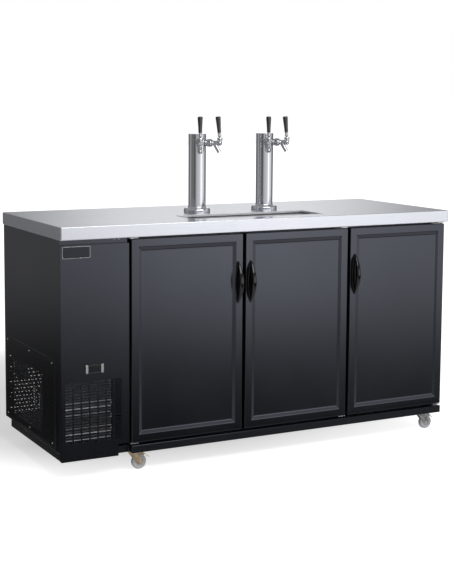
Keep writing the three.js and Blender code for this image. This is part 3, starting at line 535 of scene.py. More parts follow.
@dataclass(frozen=True)
class Finish:
    """A finish that dresses some pieces.

    Attributes:
        name: Name of the material.
        slot: Material slot of the record that it stands for; not used.
        colour: Main colour, linear.
        roughness: Mean roughness.
    """

    name: str
    slot: str
    colour: Colour
    roughness: float

    def paint(self, shader: Shader) -> None:
        """Fills the node tree of the material; each kind of finish has its own way."""
        raise NotImplementedError

    def material(self) -> bpy.types.Material:
        """The material, made at its first use.

        Returns:
            The same material at each call.
        """
        name = f"{self.name}_finish"
        found = bpy.data.materials.get(name)
        if found is None:
            found = bpy.data.materials.new(name)
            found.use_nodes = True
            self.paint(Shader(found.node_tree))
        return found

    def shaded(self, share: float) -> Colour:
        """The main colour, lighter or darker by a share."""
        return tuple(channel * share for channel in self.colour)


@dataclass(frozen=True)
class Paint(Finish):
    """Baked paint on sheet steel, with a faint orange peel, cloudy gloss and light scuffs.

    Attributes:
        specular: Strength of its mirror image.
        peel: Strength of the orange peel.
        sheen: Tint of its mirror image.
    """

    specular: float = 0.5
    peel: float = 0.08
    sheen: Colour = (0.79, 0.83, 1.0)

    def paint(self, shader: Shader) -> None:
        """Cloudy colour and gloss over a fine, shallow texture.

        Args:
            shader: Tree of the material.
        """
        cloud = shader.noise(2.6, 4)
        scuff = shader.noise(3.0, 6, 0.7, stretch=(9, 9, 60)).between(0.62, 0.78)
        peel = shader.noise(420, 2)
        dust = shader.noise(60, 5, 0.6)
        shader.surface(
            Base_Color=shader.mixed(cloud * 0.7 + dust * 0.3, self.shaded(0.86), self.shaded(1.16)),
            Roughness=(self.roughness - 0.04) + cloud * 0.08 + scuff * 0.03,
            Specular_IOR_Level=self.specular, Specular_Tint=(*self.sheen, 1),
            Normal=shader.bump(peel, self.peel, 0.0004))


class Grain(Enum):
    """Way that the brush went over a piece of steel; the value stretches the marks along it."""

    ALONG = (2.2, 420.0, 420.0)
    ROUND = (5.0, 5.0, 900.0)


@dataclass(frozen=True)
class Steel(Finish):
    """Brushed stainless steel.

    Attributes:
        grain: Way of the brush.
        streak: Strength of its marks.
        foot_shade: Lowest and highest height of a band of painted shade along the foot of the
            walls, or none.
        matt: How much rougher the steel is from that line upwards.
    """

    grain: Grain = Grain.ALONG
    streak: float = 0.08
    foot_shade: tuple[float, float] | None = None
    matt: float = 0.0

    def paint(self, shader: Shader) -> None:
        """Stretched marks in gloss and relief, soft handling marks, and a painted shade line at the
        foot of the walls.

        Args:
            shader: Tree of the material.
        """
        marks = shader.noise(1.0, 5, 0.65, stretch=self.grain.value)
        cloud = shader.noise(3.1, 4)
        smear = shader.noise(1.0, 5, 0.6, stretch=(7, 16, 16)).between(0.45, 0.8)
        colour = shader.mixed(marks * 0.6 + cloud * 0.4, self.shaded(0.95), self.shaded(1.04))
        rough = (self.roughness - self.streak) + marks * (2 * self.streak) + smear * 0.012
        # Painted shade: a dark band low on the piece, along the foot of its walls, where shadow
        # falls in the crease.
        if self.foot_shade:
            low, high = (height * MILLIMETRE for height in self.foot_shade)
            level = shader.node("ShaderNodeSeparateXYZ", None, {0: shader.place()}, output="Z")
            line = level.between(low - 0.0004, low + 0.0004)
            line = line * level.between(high + 0.0006, high - 0.0006)
            colour = shader.mixed(line * (0.75 + cloud * 0.4), colour, self.shaded(0.03))
            rough = rough + level.between(low, low + 0.0005) * self.matt
        shader.surface(
            Base_Color=colour, Metallic=1.0, Roughness=rough,
            Normal=shader.bump(marks, self.streak, 0.00012))


@dataclass(frozen=True)
class Chrome(Finish):
    """Polished plated metal with faint wipe marks."""

    def paint(self, shader: Shader) -> None:
        """Nearly even mirror with smears.

        Args:
            shader: Tree of the material.
        """
        smear = shader.noise(1.0, 5, 0.6, stretch=(30, 30, 90))
        ripple = shader.noise(55, 2)
        shader.surface(
            Base_Color=shader.mixed(smear, self.shaded(0.94), self.shaded(1.02)), Metallic=1.0,
            Roughness=self.roughness + smear.between(0.4, 0.8) * 0.07,
            Normal=shader.bump(ripple, 0.05, 0.0003))


@dataclass(frozen=True)
class Plastic(Finish):
    """Moulded plastic, glossy or grained.

    Attributes:
        grain: Strength of the moulding grain.
        specular: Strength of its mirror image.
    """

    grain: float = 0.05
    specular: float = 0.5

    def paint(self, shader: Shader) -> None:
        """Moulding grain, flow clouds and finger marks.

        Args:
            shader: Tree of the material.
        """
        grain = shader.noise(1400, 3)
        flow = shader.noise(2.0, 4, stretch=(8, 8, 20))
        touch = shader.noise(38, 5, 0.65).between(0.5, 0.75)
        shader.surface(
            Base_Color=shader.mixed(flow, self.shaded(0.85), self.shaded(1.2)),
            Roughness=self.roughness + touch * 0.06 + grain * self.grain,
            Specular_IOR_Level=self.specular,
            Normal=shader.bump(grain, self.grain, 0.0002))


@dataclass(frozen=True)
class Rubber(Finish):
    """Dull rubber or cast tyre with dust in its pores."""

    def paint(self, shader: Shader) -> None:
        """Pores and pale dust.

        Args:
            shader: Tree of the material.
        """
        pores = shader.noise(900, 4, 0.7)
        dust = shader.noise(45, 5, 0.6)
        shader.surface(
            Base_Color=shader.mixed(dust, self.shaded(0.8), self.shaded(1.25)),
            Roughness=self.roughness + pores * 0.12 - 0.06,
            Normal=shader.bump(pores, 0.12, 0.0003))


@dataclass(frozen=True)
class Galvanised(Finish):
    """Zinc-coated metal with its crystals, and a tint where it is passivated.

    Attributes:
        tint: Share of each channel that the tinted clouds keep.
        crystals: Crystals on a metre.
    """

    tint: Colour = (1.0, 1.0, 1.0)
    crystals: float = 70.0

    def paint(self, shader: Shader) -> None:
        """Crystals in colour and gloss, with tinted clouds.

        Args:
            shader: Tree of the material.
        """
        inputs = {"Vector": shader.place(), "Scale": self.crystals}
        spots = shader.node("ShaderNodeTexVoronoi", None, inputs)
        cloud = shader.noise(24, 4, 0.6)
        tinted = tuple(channel * share for channel, share in zip(self.colour, self.tint))
        shader.surface(
            Base_Color=shader.mixed(cloud * 0.7 + spots * 0.3, self.colour, tinted), Metallic=1.0,
            Roughness=self.roughness + spots * 0.12 + cloud * 0.1 - 0.1,
            Normal=shader.bump(cloud, 0.08, 0.0003))


@dataclass(frozen=True)
class FinPack(Finish):
    """Edges of thin upright fins, packed side by side along X.

    Attributes:
        pitch: Distance between two fins.
    """

    pitch: float = 2.2

    def paint(self, shader: Shader) -> None:
        """Stripes one fin apart, with painted shade in the gaps between the fins, and bent patches.

        Args:
            shader: Tree of the material.
        """
        pitch = self.pitch * MILLIMETRE
        bend = shader.noise(1.0, 3, stretch=(20, 20, 6)) * 0.0016
        across = shader.node("ShaderNodeSeparateXYZ", None, {0: shader.place()}, output="X") + bend
        wave = shader.node("ShaderNodeMath", {"operation": "PINGPONG"}, {0: across, 1: pitch / 2})
        fin = (wave * (2 / pitch)).between(0.5, 0.8)
        dust = shader.noise(30, 5)
        shader.surface(
            # Painted shade: the gaps between the fins take a darkened copy of the colour.
            Base_Color=shader.mixed(fin * (0.7 + dust * 0.3), self.shaded(0.12), self.colour),
            Metallic=0.8, Roughness=self.roughness + dust * 0.1,
            Normal=shader.bump(fin, 0.5, 0.0006))


BLACK_PAINT = Paint("black_paint", "black_paint", (0.0052, 0.0055, 0.0064), 0.15, specular=1.0)
BASE_PAINT = Paint("base_paint", "dark_paint", (0.003, 0.003, 0.0034), 0.26)
INNER_PAINT = Paint("inner_paint", "dark_paint", (0.012, 0.012, 0.013), 0.6, specular=0.3)
BADGE_PAINT = Paint(
    "badge_paint", "badge_paint", (0.006, 0.006, 0.007), 0.22, specular=0.6, peel=0.02)
POT_PAINT = Paint("pot_paint", "gloss_black", (0.008, 0.008, 0.009), 0.25)
WORKTOP_STEEL = Steel("worktop_steel", "worktop_steel", (0.79, 0.805, 0.87), 0.26, streak=0.05)
COLUMN_STEEL = Steel(
    "column_steel", "tower_steel", (0.74, 0.745, 0.79), 0.09, grain=Grain.ROUND, streak=0.02)
# The tray's steel gets a band of painted shade low in the pan, along the foot of its walls.
TRAY_STEEL = Steel(
    "tray_steel", "polished_steel", (0.90, 0.905, 0.94), 0.08, streak=0.02,
    foot_shade=(1005.1, 1008.6), matt=0.2)
BRIGHT_TRIM = Steel("bright_trim", "zinc", (0.72, 0.72, 0.72), 0.22, streak=0.05)
CHROME = Chrome("faucet_chrome", "polished_steel", (0.64, 0.645, 0.67), 0.07)
GLOSS_BLACK = Plastic("gloss_black", "gloss_black", (0.004, 0.004, 0.005), 0.11, grain=0.02)
TAP_BLACK = Plastic(
    "tap_black", "gloss_black", (0.011, 0.012, 0.016), 0.3, grain=0.04, specular=1.0)
BLACK_PLASTIC = Plastic(
    "black_plastic", "black_plastic", (0.012, 0.012, 0.013), 0.42, grain=0.12, specular=0.4)
WINDOW = Plastic(
    "display_window", "black_plastic", (0.012, 0.014, 0.018), 0.08, grain=0.01, specular=0.8)
SEAL_RUBBER = Rubber("seal_rubber", "gasket_rubber", (0.028, 0.028, 0.030), 0.7)
TYRE = Rubber("castor_tyre", "castor_tyre", (0.60, 0.60, 0.63), 0.24)
HUB = Plastic("castor_hub", "castor_tyre", (0.72, 0.72, 0.73), 0.3, grain=0.1)
LINER = Galvanised("liner_metal", "liner_metal", (0.60, 0.61, 0.62), 0.38, crystals=90.0)
ZINC = Galvanised(
    "zinc_plate", "zinc", (0.95, 0.86, 0.68), 0.24, tint=(0.82, 0.62, 0.36), crystals=45.0)
BRIGHT_ZINC = Galvanised("bright_zinc", "zinc", (0.76, 0.76, 0.76), 0.2, tint=(0.94, 0.94, 0.92))
FINS = FinPack("condenser_fins", "coil_metal", (0.5, 0.5, 0.52), 0.45)
TUBES = Galvanised("coil_tubes", "coil_metal", (0.90, 0.90, 0.92), 0.42)


# Pieces


def dress(node: str, finish: Finish) -> None:
    """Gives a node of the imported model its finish.

    Args:
        node: Name of the node.
        finish: Its finish.
    """
    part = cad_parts[node]
    part.data.materials.clear()
    part.data.materials.append(finish.material())


def placed(name: str, data: bpy.types.ID) -> bpy.types.Object:
    """Makes an object and puts it in the scene.

    Args:
        name: Name of the object.
        data: Its mesh, lamp or camera.

    Returns:
        The object, at the origin.
    """
    item = bpy.data.objects.new(name, data)
    bpy.context.scene.collection.objects.link(item)
    return item


def shaped(name: str, mesh: bpy.types.Mesh, surface: bmesh.types.BMesh) -> bpy.types.Object:
    """Makes a smooth piece with sharp edges.

    Args:
        name: Name of the piece.
        mesh: Its mesh, which the surface replaces.
        surface: Its edited surface, which is freed.

    Returns:
        The piece.
    """
    surface.to_mesh(mesh)
    surface.free()
    mesh.shade_smooth()
    mesh.set_sharp_from_angle(angle=math.radians(SHARP_ANGLE))
    return placed(name, mesh)


def settle(piece: bpy.types.Object, finish: Finish, body: str, nodes: Sequence[str]) -> None:
    """Finishes a new piece, so that wide flat faces stay flat in the light beside rounded edges.

    Args:
        piece: The piece.
        finish: Its finish.
        body: Body that it rides on.
        nodes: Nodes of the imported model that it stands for.
    """
    steady = piece.modifiers.new("normals", "WEIGHTED_NORMAL")
    steady.mode = "FACE_AREA_WITH_ANGLE"
    steady.weight = 100
    steady.keep_sharp = True
    piece.data.materials.clear()
    piece.data.materials.append(finish.material())
    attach(piece, body)
    if nodes:
        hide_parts(*nodes)
    log.info("%s: %d faces, rides on %s", piece.name, len(piece.data.polygons), body)


def make(
    name: str, form: Form, finish: Finish, body: str = "cabinet", nodes: Sequence[str] = ()
) -> None:
    """Makes a piece from a form, at the origin and with its place in its mesh.

    Args:
        name: Name of the piece.
        form: Its surface.
        finish: Its finish.
        body: Body that it rides on.
        nodes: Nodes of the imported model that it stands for.
    """
    mesh = bpy.data.meshes.new(name)
    mesh.from_pydata((form.points * MILLIMETRE).tolist(), [], form.faces)
    surface = bmesh.new()
    surface.from_mesh(mesh)
    bmesh.ops.remove_doubles(surface, verts=surface.verts, dist=MERGE_DISTANCE)
    bmesh.ops.dissolve_degenerate(surface, edges=surface.edges, dist=MERGE_DISTANCE / 10)
    bmesh.ops.recalc_face_normals(surface, faces=surface.faces)
    settle(shaped(name, mesh, surface), finish, body, nodes)


def eased(node: str, finish: Finish, width: float, body: str = "cabinet") -> None:
    """Makes a copy of a node that stands for it, with flat faces joined and a live bevel.

    Args:
        node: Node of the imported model.
        finish: Finish of the copy.
        width: How far the broken edge reaches.
        body: Body that it rides on.
    """
    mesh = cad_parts[node].data.copy()
    mesh.name = f"{node}_eased"
    surface = bmesh.new()
    surface.from_mesh(mesh)
    bmesh.ops.remove_doubles(surface, verts=surface.verts, dist=MERGE_DISTANCE)
    bmesh.ops.dissolve_limit(
        surface, angle_limit=math.radians(1), verts=surface.verts, edges=surface.edges)
    piece = shaped(mesh.name, mesh, surface)
    bevel = piece.modifiers.new("edges", "BEVEL")
    bevel.width = width * MILLIMETRE
    bevel.segments = 2
    bevel.limit_method = "ANGLE"
    bevel.angle_limit = math.radians(BEVEL_ANGLE)
    settle(piece, finish, body, [node])


# Sub-assemblies


@dataclass
class Worktop:
    """Steel top with the pocket for its drip tray.

    Attributes:
        edge: Radius of the top's edges.
        corner: Radius of its corners.
        tray_wall: Thickness of the tray's sheet.
        tray_gap: Clearance round the tray.
        tray_corner: Radius of the tray's corners.
        tray_lip: How far the lip reaches over the top.
        lip_thickness: Thickness of the lip.
        drain_radius: Radius of the strainer in the tray.
    """

    edge: float = 2.6
    corner: float = 6.0
    tray_wall: float = 1.5
    tray_gap: float = 0.3
    tray_corner: float = 3.0
    tray_lip: float = 5.0
    lip_thickness: float = 0.8
    drain_radius: float = 24.0

    def build(self) -> None:
        """Makes the top, the tray and the tray's drain."""
        make("worktop_top", self.top(), WORKTOP_STEEL, nodes=["worktop"])
        make("drip_tray_pan", self.tray(), TRAY_STEEL, nodes=["drip_tray"])
        make("drip_tray_drain", self.drain(), CHROME)

    def tray_outline(self) -> Array:
        """Finds the tray's opening.

        Returns:
            Left, right, front and back.
        """
        low, high = node_box("drip_tray")
        inset = self.tray_lip + self.tray_wall
        return np.array([low[0] + inset, high[0] - inset, low[1] + inset, high[1] - inset])

    def top(self) -> Form:
        """Shapes the top.

        Returns:
            Rings from the pocket's floor up its wall, over the top and down the outer edge.
        """
        low, high = node_box("worktop")
        floor = node_box("drip_tray")[0][2] - self.tray_gap
        grow = self.tray_wall + self.tray_gap
        outwards = np.array([-1, 1, -1, 1])
        pocket = self.tray_outline() + grow * outwards
        outer = np.array([low[0], high[0], low[1], high[1]])
        levels = [[*pocket, self.tray_corner + grow, height] for height in (floor, high[2])]
        inner = 3 * self.edge
        profile = softened(
            [[inner, high[2]], [0, high[2]], [0, low[2]], [inner, low[2]]], self.edge, 5)
        levels += [[*(outer - inset * outwards), self.corner, height] for inset, height in profile]
        return bridged(level_rings(levels, 6))

    def tray(self) -> Form:
        """Shapes the tray.

        Returns:
            Rings from under the pan, up its wall, round the lip and down the inside to the floor.
        """
        low, high = node_box("drip_tray")
        wall, lip = self.tray_wall, self.tray_wall + self.tray_lip
        floor, under = low[2] + wall, high[2] - self.lip_thickness
        profile = softened([
            [18, low[2]], [-wall, low[2]], [-wall, under], [-lip, under], [-lip, high[2]],
            [0, high[2]], [0, floor], [18, floor]], [1.2, 0.3, 0.35, 0.35, 0.6, 1.2], 4)
        return framed(self.tray_outline(), self.tray_corner, profile, steps=7)

    def drain(self) -> Form:
        """Shapes the strainer, whose ridges rise by 0.9 + 0.5 cos 1.9 r at the radius r.

        Returns:
            A low dish in the middle of the tray's floor.
        """
        left, right, front, back = self.tray_outline()
        rim = [[0, 0.05], [self.drain_radius, 0.05], [self.drain_radius, 0.7]]
        radius = np.linspace(self.drain_radius - 2, 0, 24)
        ridges = np.stack([radius, 0.9 + 0.5 * np.cos(radius * 1.9)], axis=-1)
        floor = node_box("drip_tray")[0][2] + self.tray_wall
        dish = revolved(np.concatenate([rim, ridges]))
        return dish.moved((left + right) / 2, (front + back) / 2, floor)


@dataclass
class Door:
    """Hinged door with a sunk panel, its seal and its bow handle.

    Attributes:
        side: Word for the door in the names of its nodes.
        border: Width of the flat border round the panel.
        bevel: Width of the slope from the border to the panel.
        sink: How deep the panel lies.
        liner_inset: Distance of the raised inner liner from the door's outline.
        liner_draft: Width of the liner's slope.
        liner_depth: Height of the liner.
        edge: Radius of the edges.
        corner: Radius of the corners.
        seal_width: Width of the seal.
        screw_inset: Distance of a hinge's screws from its ends.
        screw_lift: How far those screws lie from the middle of the hinge's height.
    """

    side: str
    border: float = 32.0
    bevel: float = 13.5
    sink: float = 4.2
    liner_inset: float = 45.0
    liner_draft: float = 8.0
    liner_depth: float = 14.0
    edge: float = 2.2
    corner: float = 3.0
    seal_width: float = 16.0
    screw_inset: float = 8.0
    screw_lift: float = 3.0

    def build(self) -> None:
        """Makes the leaf, the seal, the handle and the fittings."""
        body = f"{self.side}_door"
        make(f"{body}_leaf", self.leaf(), BLACK_PAINT, body, [body])
        make(f"{body}_seal", self.seal(), SEAL_RUBBER, body, [f"{body}_gasket"])
        make(f"{body}_bow", self.bow(), GLOSS_BLACK, body, [f"{body}_handle"])
        for level, lift in (("lower", self.screw_lift), ("upper", -self.screw_lift)):
            hinge = f"{body}_{level}_hinge"
            eased(hinge, BRIGHT_ZINC, 0.5)
            make(f"{hinge}_screws", self.hinge_screws(hinge, lift), BRIGHT_ZINC)

    def leaf(self) -> Form:
        """Shapes the door.

        Returns:
            Rings from the raised inner liner round the outside to the sunk front panel.
        """
        low, high = node_box(f"{self.side}_door")
        thick = high[1] - low[1]
        panel = thick - self.sink
        inner, slope = self.liner_inset + self.liner_draft, self.border + self.bevel
        profile = softened([
            [inner + 9, 0], [inner, 0], [self.liner_inset, self.liner_depth],
            [0, self.liner_depth], [0, thick], [self.border, thick], [slope, panel],
            [slope + 9, panel]], [4, 2, self.edge, self.edge, 1.6, 2.4], 4)
        form = framed(facing(f"{self.side}_door"), self.corner, profile)
        return form.to_front().moved(y=high[1])

    def seal(self) -> Form:
        """Shapes the magnetic seal.

        Returns:
            A soft lip with two grooves, carried round the door.
        """
        gasket = f"{self.side}_door_gasket"
        low, high = node_box(gasket)
        thick, width = high[1] - low[1], self.seal_width
        profile = softened([
            [0, 2.5], [1.4, 5.5], [0, 8.5], [2, thick], [width - 2, thick], [width, 8.5],
            [width - 1.4, 5.5], [width, 2.5], [width - 2, 0], [2, 0], [0, 2.5]], 0.9, 2)[:-1]
        form = framed(facing(gasket), 8.0, profile, closed=True, steps=6)
        return form.to_front().moved(y=high[1])

    def bow(self) -> Form:
        """Shapes the handle: a leaf-shaped foot plate and a bow that stands out from it.

        Along the handle t runs from 0 to 1, with s = sin(pi t). The bow stands out by
        reach s^0.8 and swells with s, and the foot is as wide as 0.30 + 0.68 s^1.2 of it.

        Returns:
            Both in one.
        """
        low, high = node_box(f"{self.side}_door_handle")
        width, reach, length = high - low
        t = np.linspace(0, 1, 41)
        arch = np.sin(np.pi * np.clip(t, 0.004, 0.996))
        thick = 6.0 + 17.0 * arch
        away = thick / 2 - 4.0 - (reach - 4.4) * arch**0.8
        path = np.stack([0 * t, away, (t - 0.5) * (length - 8)], axis=-1)
        scale = np.stack([0.2 + 0.55 * arch**1.1, thick / 10], axis=-1)
        leaf = swept(path, oval(width, 10.0, 3.6, 32), (1, 0, 0), scale)
        flat = np.stack([0 * t, 0 * t - 2.2, (t - 0.5) * (length - 1)], axis=-1)
        ends = np.minimum(1, np.sin(np.pi * np.clip(t, 0.002, 0.998)) * 7) ** 0.5
        broad = np.stack([(0.30 + 0.68 * arch**1.2) * ends, 1 + 0 * t], axis=-1)
        foot = swept(flat, oval(width, 4.2, 3.5), (1, 0, 0), broad)
        return (leaf + foot).moved((low[0] + high[0]) / 2, high[1], (low[2] + high[2]) / 2)

    def hinge_screws(self, hinge: str, lift: float) -> Form:
        """Shapes the two screws on the leg of a hinge bracket.

        Args:
            hinge: Node of the bracket.
            lift: How far above the middle of its height they lie.

        Returns:
            Their heads.
        """
        low, high = node_box(hinge)
        head = screw_head(3.2, 1.6).to_front().moved(y=high[1] - 3, z=(low[2] + high[2]) / 2 + lift)
        return head.moved(low[0] + self.screw_inset) + head.moved(high[0] - self.screw_inset)


@dataclass
class Tower:
    """Column with its flange and cap, and two faucets with their levers and handles.

    Attributes:
        side: Word for the tower in the names of its nodes.
        column: Radius of the column.
        cap: Height of its cap.
        turn: Degrees that the tower is turned about its column.
        spread: Degrees between the middle and each faucet.
        axis_drop: How far the faucets' axis lies under the top of their bodies.
        lever_reach: Distance of the levers from the column's axis.
        pivot_height: Height of the levers' pivots over the faucets' axis.
        lever_lean: Degrees that the levers lean outwards.
    """

    side: str
    column: float = 38.1
    cap: float = 26.0
    turn: float = 15.0
    spread: float = 34.0
    axis_drop: float = 23.0
    lever_reach: float = 101.0
    pivot_height: float = 16.0
    lever_lean: float = 5.0

    def build(self) -> None:
        """Makes the column and dresses both faucets."""
        low, high = node_box(f"{self.side}_tower")
        x, y = (low[:2] + high[:2]) / 2
        post = self.post(high[2] - low[2]).moved(x, y, low[2])
        make(f"{self.side}_tower_column", post, COLUMN_STEEL, nodes=[f"{self.side}_tower"])
        place = (x, y, node_box(f"{self.side}_faucet_a")[1][2] - self.axis_drop)
        for label, sign in (("a", -1), ("b", 1)):
            angle = self.turn - 90 + sign * self.spread
            faucet = f"{self.side}_faucet_{label}"
            form = self.faucet().turned(angle).moved(*place)
            make(f"{faucet}_body", form, CHROME, nodes=[faucet])
            self.build_lever(label, angle, place)

    def build_lever(self, label: str, angle: float, place: Sequence[float]) -> None:
        """Makes a lever and its handle on the lever's body.

        Args:
            label: Letter of the faucet.
            angle: Degrees that the faucet is turned.
            place: Where the faucets' axes meet.
        """
        lever, handle = f"{self.side}_lever_{label}", f"{self.side}_tap_handle_{label}"
        for name, node, form, finish in (
                (f"{lever}_stem", lever, self.lever(), CHROME),
                (f"{handle}_grip", handle, self.handle(), TAP_BLACK)):
            form = form.turned(-self.lever_lean, "Y").moved(self.lever_reach, 0, self.pivot_height)
            make(name, form.turned(angle).moved(*place), finish, lever, [node])

    def post(self, height: float) -> Form:
        """Shapes flange, neck, column and cap.

        Args:
            height: Height of the whole.

        Returns:
            The post, on the XY plane.
        """
        radius, cap = self.column, height - self.cap
        return lathed([
            [0, 0], [57.5, 0], [57.5, 12.5], [51.5, 19], [radius + 4.5, 19], [radius, 22.5],
            [radius, cap - 0.9], [radius - 0.9, cap - 0.5], [radius - 0.9, cap + 0.5],
            [radius, cap + 0.9], [radius, height], [0, height]],
            [0.8, 4.5, 4.5, 1.2, 3, 0.3, 0.3, 0.3, 0.3, 1.4], 4, 96)

    def faucet(self) -> Form:
        """Shapes shank, collar, coupling nut with its six studs, barrel, bonnet and spout.

        Returns:
            The faucet, pointing to the right, with the column's axis at the origin.
        """
        start = self.column - 9
        barrel = lathed([
            [0, start], [11, start], [11, 38.4], [14.5, 38.4], [14.5, 41.5], [12, 43.5],
            [12, 45.5], [16, 45.5], [16.6, 48], [16.6, 62.5], [15.4, 65.5], [11.2, 65.5],
            [11.2, 70], [9.6, 76], [9.8, 86], [11.6, 91], [11.6, 104], [9, 108.4], [0, 109]],
            [0.4, 0.4, 0.6, 1, 0.8, 0.3, 0.8, 1, 1, 0.8, 0.5, 1.5, 3, 3, 2.5, 1.2, 2], 4, 48)
        stud = lathed([[0, 0], [2.4, 0], [2.4, 1.2], [0, 1.2]], 0.3, 2, 16).moved(55.2, 0, 16)
        studs = joined(stud.turned(60 * step, "X") for step in range(6))
        bonnet = lathed([
            [0, 4], [10.4, 4], [10.4, 14], [11.4, 15.2], [11.4, 19.5], [10, 23], [8.2, 23],
            [7.2, 17], [0, 12]], [2, 1, 0.8, 0.8, 1.2, 0.6, 1], 3, 40).moved(self.lever_reach)
        down = curve([[80, 0, -2], [82, 0, -9], [87, 0, -19], [93.5, 0, -30], [98, 0, -38]])
        narrow = np.stack([np.linspace(1.06, 0.9, len(down))] * 2, axis=-1)
        spout = swept(down, oval(18.4, 18.4), (0, 1, 0), narrow)
        lip = lathed([[0, 0], [8.9, 0], [8.9, 4.6], [7.9, 5.6], [0, 5.6]], 0.9, 3, 32)
        lip = lip.turned(-28, "Y").moved(99.2, 0, -40.2)
        return joined([barrel.to_right(), studs, bonnet, spout, lip])

    def lever(self) -> Form:
        """Shapes ball, neck, collar, ferrule and stud.

        Returns:
            The lever, upwards from its pivot.
        """
        return lathed([
            [0, -5.6], [4.2, -4], [5.8, 0], [4.8, 3.2], [3.4, 5], [3.4, 9], [6.3, 12.4],
            [7.4, 14.2], [7.4, 17], [6.2, 18.6], [6.2, 25.5], [7, 27], [7, 28.9], [3.5, 28.9],
            [3.5, 36.5], [0, 36.5]],
            [1.5, 2, 2, 1.5, 1, 1.5, 1, 0.8, 0.8, 1, 0.8, 0.6, 0.6, 0.2], 3, 40)

    def handle(self) -> Form:
        """Shapes the handle, narrow at its foot and crowned at its top.

        Returns:
            The handle, upwards from its lever's pivot.
        """
        return lathed([
            [0, 0], [7.4, 0], [7.9, 4], [8.3, 20], [11, 62], [11, 67], [8.4, 69.8], [0, 70]],
            [0.8, 1.5, 12, 5, 1.5, 1.6], 5, 48).moved(z=29.3)


@dataclass
class Castor:
    """Swivel castor: plate, fork, wheel and, at the front, a brake pedal.

    Attributes:
        end: Word for its end in the names of its nodes.
        side: Word for its side there.
        bolt_place: Distance of the plate's bolts from its middle, on both axes.
        leg_gap: Distance between the fork's legs.
        leg: Thickness of a leg.
        crown_radius: Radius of the fork's crown, where the legs start.
        eye_radius: Half the width of a leg beside the axle.
        plate_half: Half the width of the plate.
        trail: Distance of the axle from the swivel's axis.
        wheel_radius: Radius of the wheel.
        wheel_width: Width of its tread.
        pin: Place of the pedal's pin, ahead of the axle and above it.
    """

    end: str
    side: str
    bolt_place: float = 23.0
    leg_gap: float = 23.0
    leg: float = 2.5
    crown_radius: float = 23.5
    eye_radius: float = 11.5
    plate_half: float = 31.0
    trail: float = 22.0
    wheel_radius: float = 31.5
    wheel_width: float = 20.0
    pin: tuple[float, float] = (18.0, 31.0)

    def build(self) -> None:
        """Makes the plate, the fork, the wheel and the pedal."""
        name = f"{self.end}_{self.side}"
        finish = ZINC if self.side == "left" else BRIGHT_ZINC
        low, high = node_box(f"{name}_castor_plate")
        x, y = (low[:2] + high[:2]) / 2
        top_plate = self.plate(low[2], high[2]).moved(x, y)
        make(f"{name}_top_plate", top_plate, finish, nodes=[f"{name}_castor_plate"])
        fork, wheel = f"{name}_fork", f"{name}_wheel"
        make(f"{name}_fork_sheet", self.fork().moved(x, y), finish, fork, [f"{name}_castor_fork"])
        hub = (x + self.trail, y, self.wheel_radius)
        make(f"{name}_tyre", self.wheel().moved(*hub), TYRE, wheel, [f"{name}_castor_wheel"])
        make(f"{name}_wheel_hub", self.hub().moved(*hub), HUB, wheel)
        if self.end == "front":
            pedal = self.pedal(hub[0]).moved(*hub)
            make(f"{name}_pedal_sheet", pedal, finish, f"{name}_pedal", [f"{name}_brake_pedal"])

    def plate(self, bottom: float, top: float) -> Form:
        """Shapes the plate, the four bolt heads under it and the bearing race.

        Args:
            bottom: Height where the race ends.
            top: Height of the plate's top.

        Returns:
            All of them, round the Z axis.
        """
        places, half = (-self.bolt_place, self.bolt_place), self.plate_half
        sheet = plate([-half, half, -half, half], 5, top - 3, top, 0.8)
        bolt = hex_nut(4.2, 2.2).turned(180, "X").moved(z=top - 2.8)
        race = lathed(
            [[0, top - 2], [21, top - 2], [22, top - 5], [20, bottom], [0, bottom]], 0.9,
            sides=ROUND_SIDES)
        return joined([sheet, *(bolt.moved(x, y) for x in places for y in places), race])

    def fork(self) -> Form:
        """Shapes the domed crown, a bent leg on each side of the wheel, and the axle with its nuts.

        Each leg is a sheet whose outline narrows from the crown to the eye round the axle. From
        t = 0 to 1 its middle line moves by trail t^1.25 and its half width shrinks with t^0.8.

        Returns:
            The fork, with the Z axis as its swivel.
        """
        top = node_box(f"{self.end}_{self.side}_castor_fork")[1][2]
        wide, narrow, start = self.crown_radius, self.eye_radius, top - 3
        crown = lathed(
            [[0, top - 5], [wide, top - 5], [wide + 0.5, top - 3.6], [21, top], [0, top]], 1,
            sides=ROUND_SIDES)
        t = np.linspace(0, 1, 14)
        middle, half = self.trail * t**1.25, wide - (wide - narrow) * t**0.8
        height = start + (self.wheel_radius - start) * t
        turn = np.linspace(0, np.pi, 13)[1:-1]
        eye = [self.trail - narrow * np.cos(turn), self.wheel_radius - 9 * np.sin(turn)]
        left, right = ([middle + way * half, height] for way in (-1, 1))
        outline = np.concatenate([np.transpose(left), np.transpose(eye), np.transpose(right)[::-1]])
        centre = outline.mean(axis=0)
        depth = np.array([[0.0], [0.35], [self.leg - 0.35], [self.leg]]) + self.leg_gap / 2
        share = np.array([0.985, 1.0, 1.0, 0.985])[:, None, None]
        x, z = np.moveaxis(centre + (outline - centre) * share, -1, 0)
        legs = [bridged(np.stack([x, way * depth + 0 * x, z], axis=-1)) for way in (-1, 1)]
        reach = self.leg_gap / 2 + self.leg
        axle = revolved([[0, -reach], [4, -reach], [4, reach], [0, reach]], SMALL_SIDES)
        nut = hex_nut(5.8, 2.6).moved(z=reach - 0.1)
        axle = axle.turned(90, "X") + nut.turned(90, "X") + nut.turned(-90, "X")
        return joined([crown, *legs, axle.moved(self.trail, 0, self.wheel_radius)])

    def wheel(self) -> Form:
        """Shapes the tyre, with a crowned tread and sunk flanks.

        Returns:
            The tyre, about the Y axis.
        """
        half, radius = self.wheel_width / 2, self.wheel_radius
        profile = softened([
            [13, -half + 2.5], [21, -half + 2.5], [24, -half], [radius - 3, -half],
            [radius - 0.2, -half + 4], [radius, 0], [radius - 0.2, half - 4], [radius - 3, half],
            [24, half], [21, half - 2.5], [13, half - 2.5]], 2.2, 3)
        return revolved(profile, 64, closed=True).turned(90, "X")

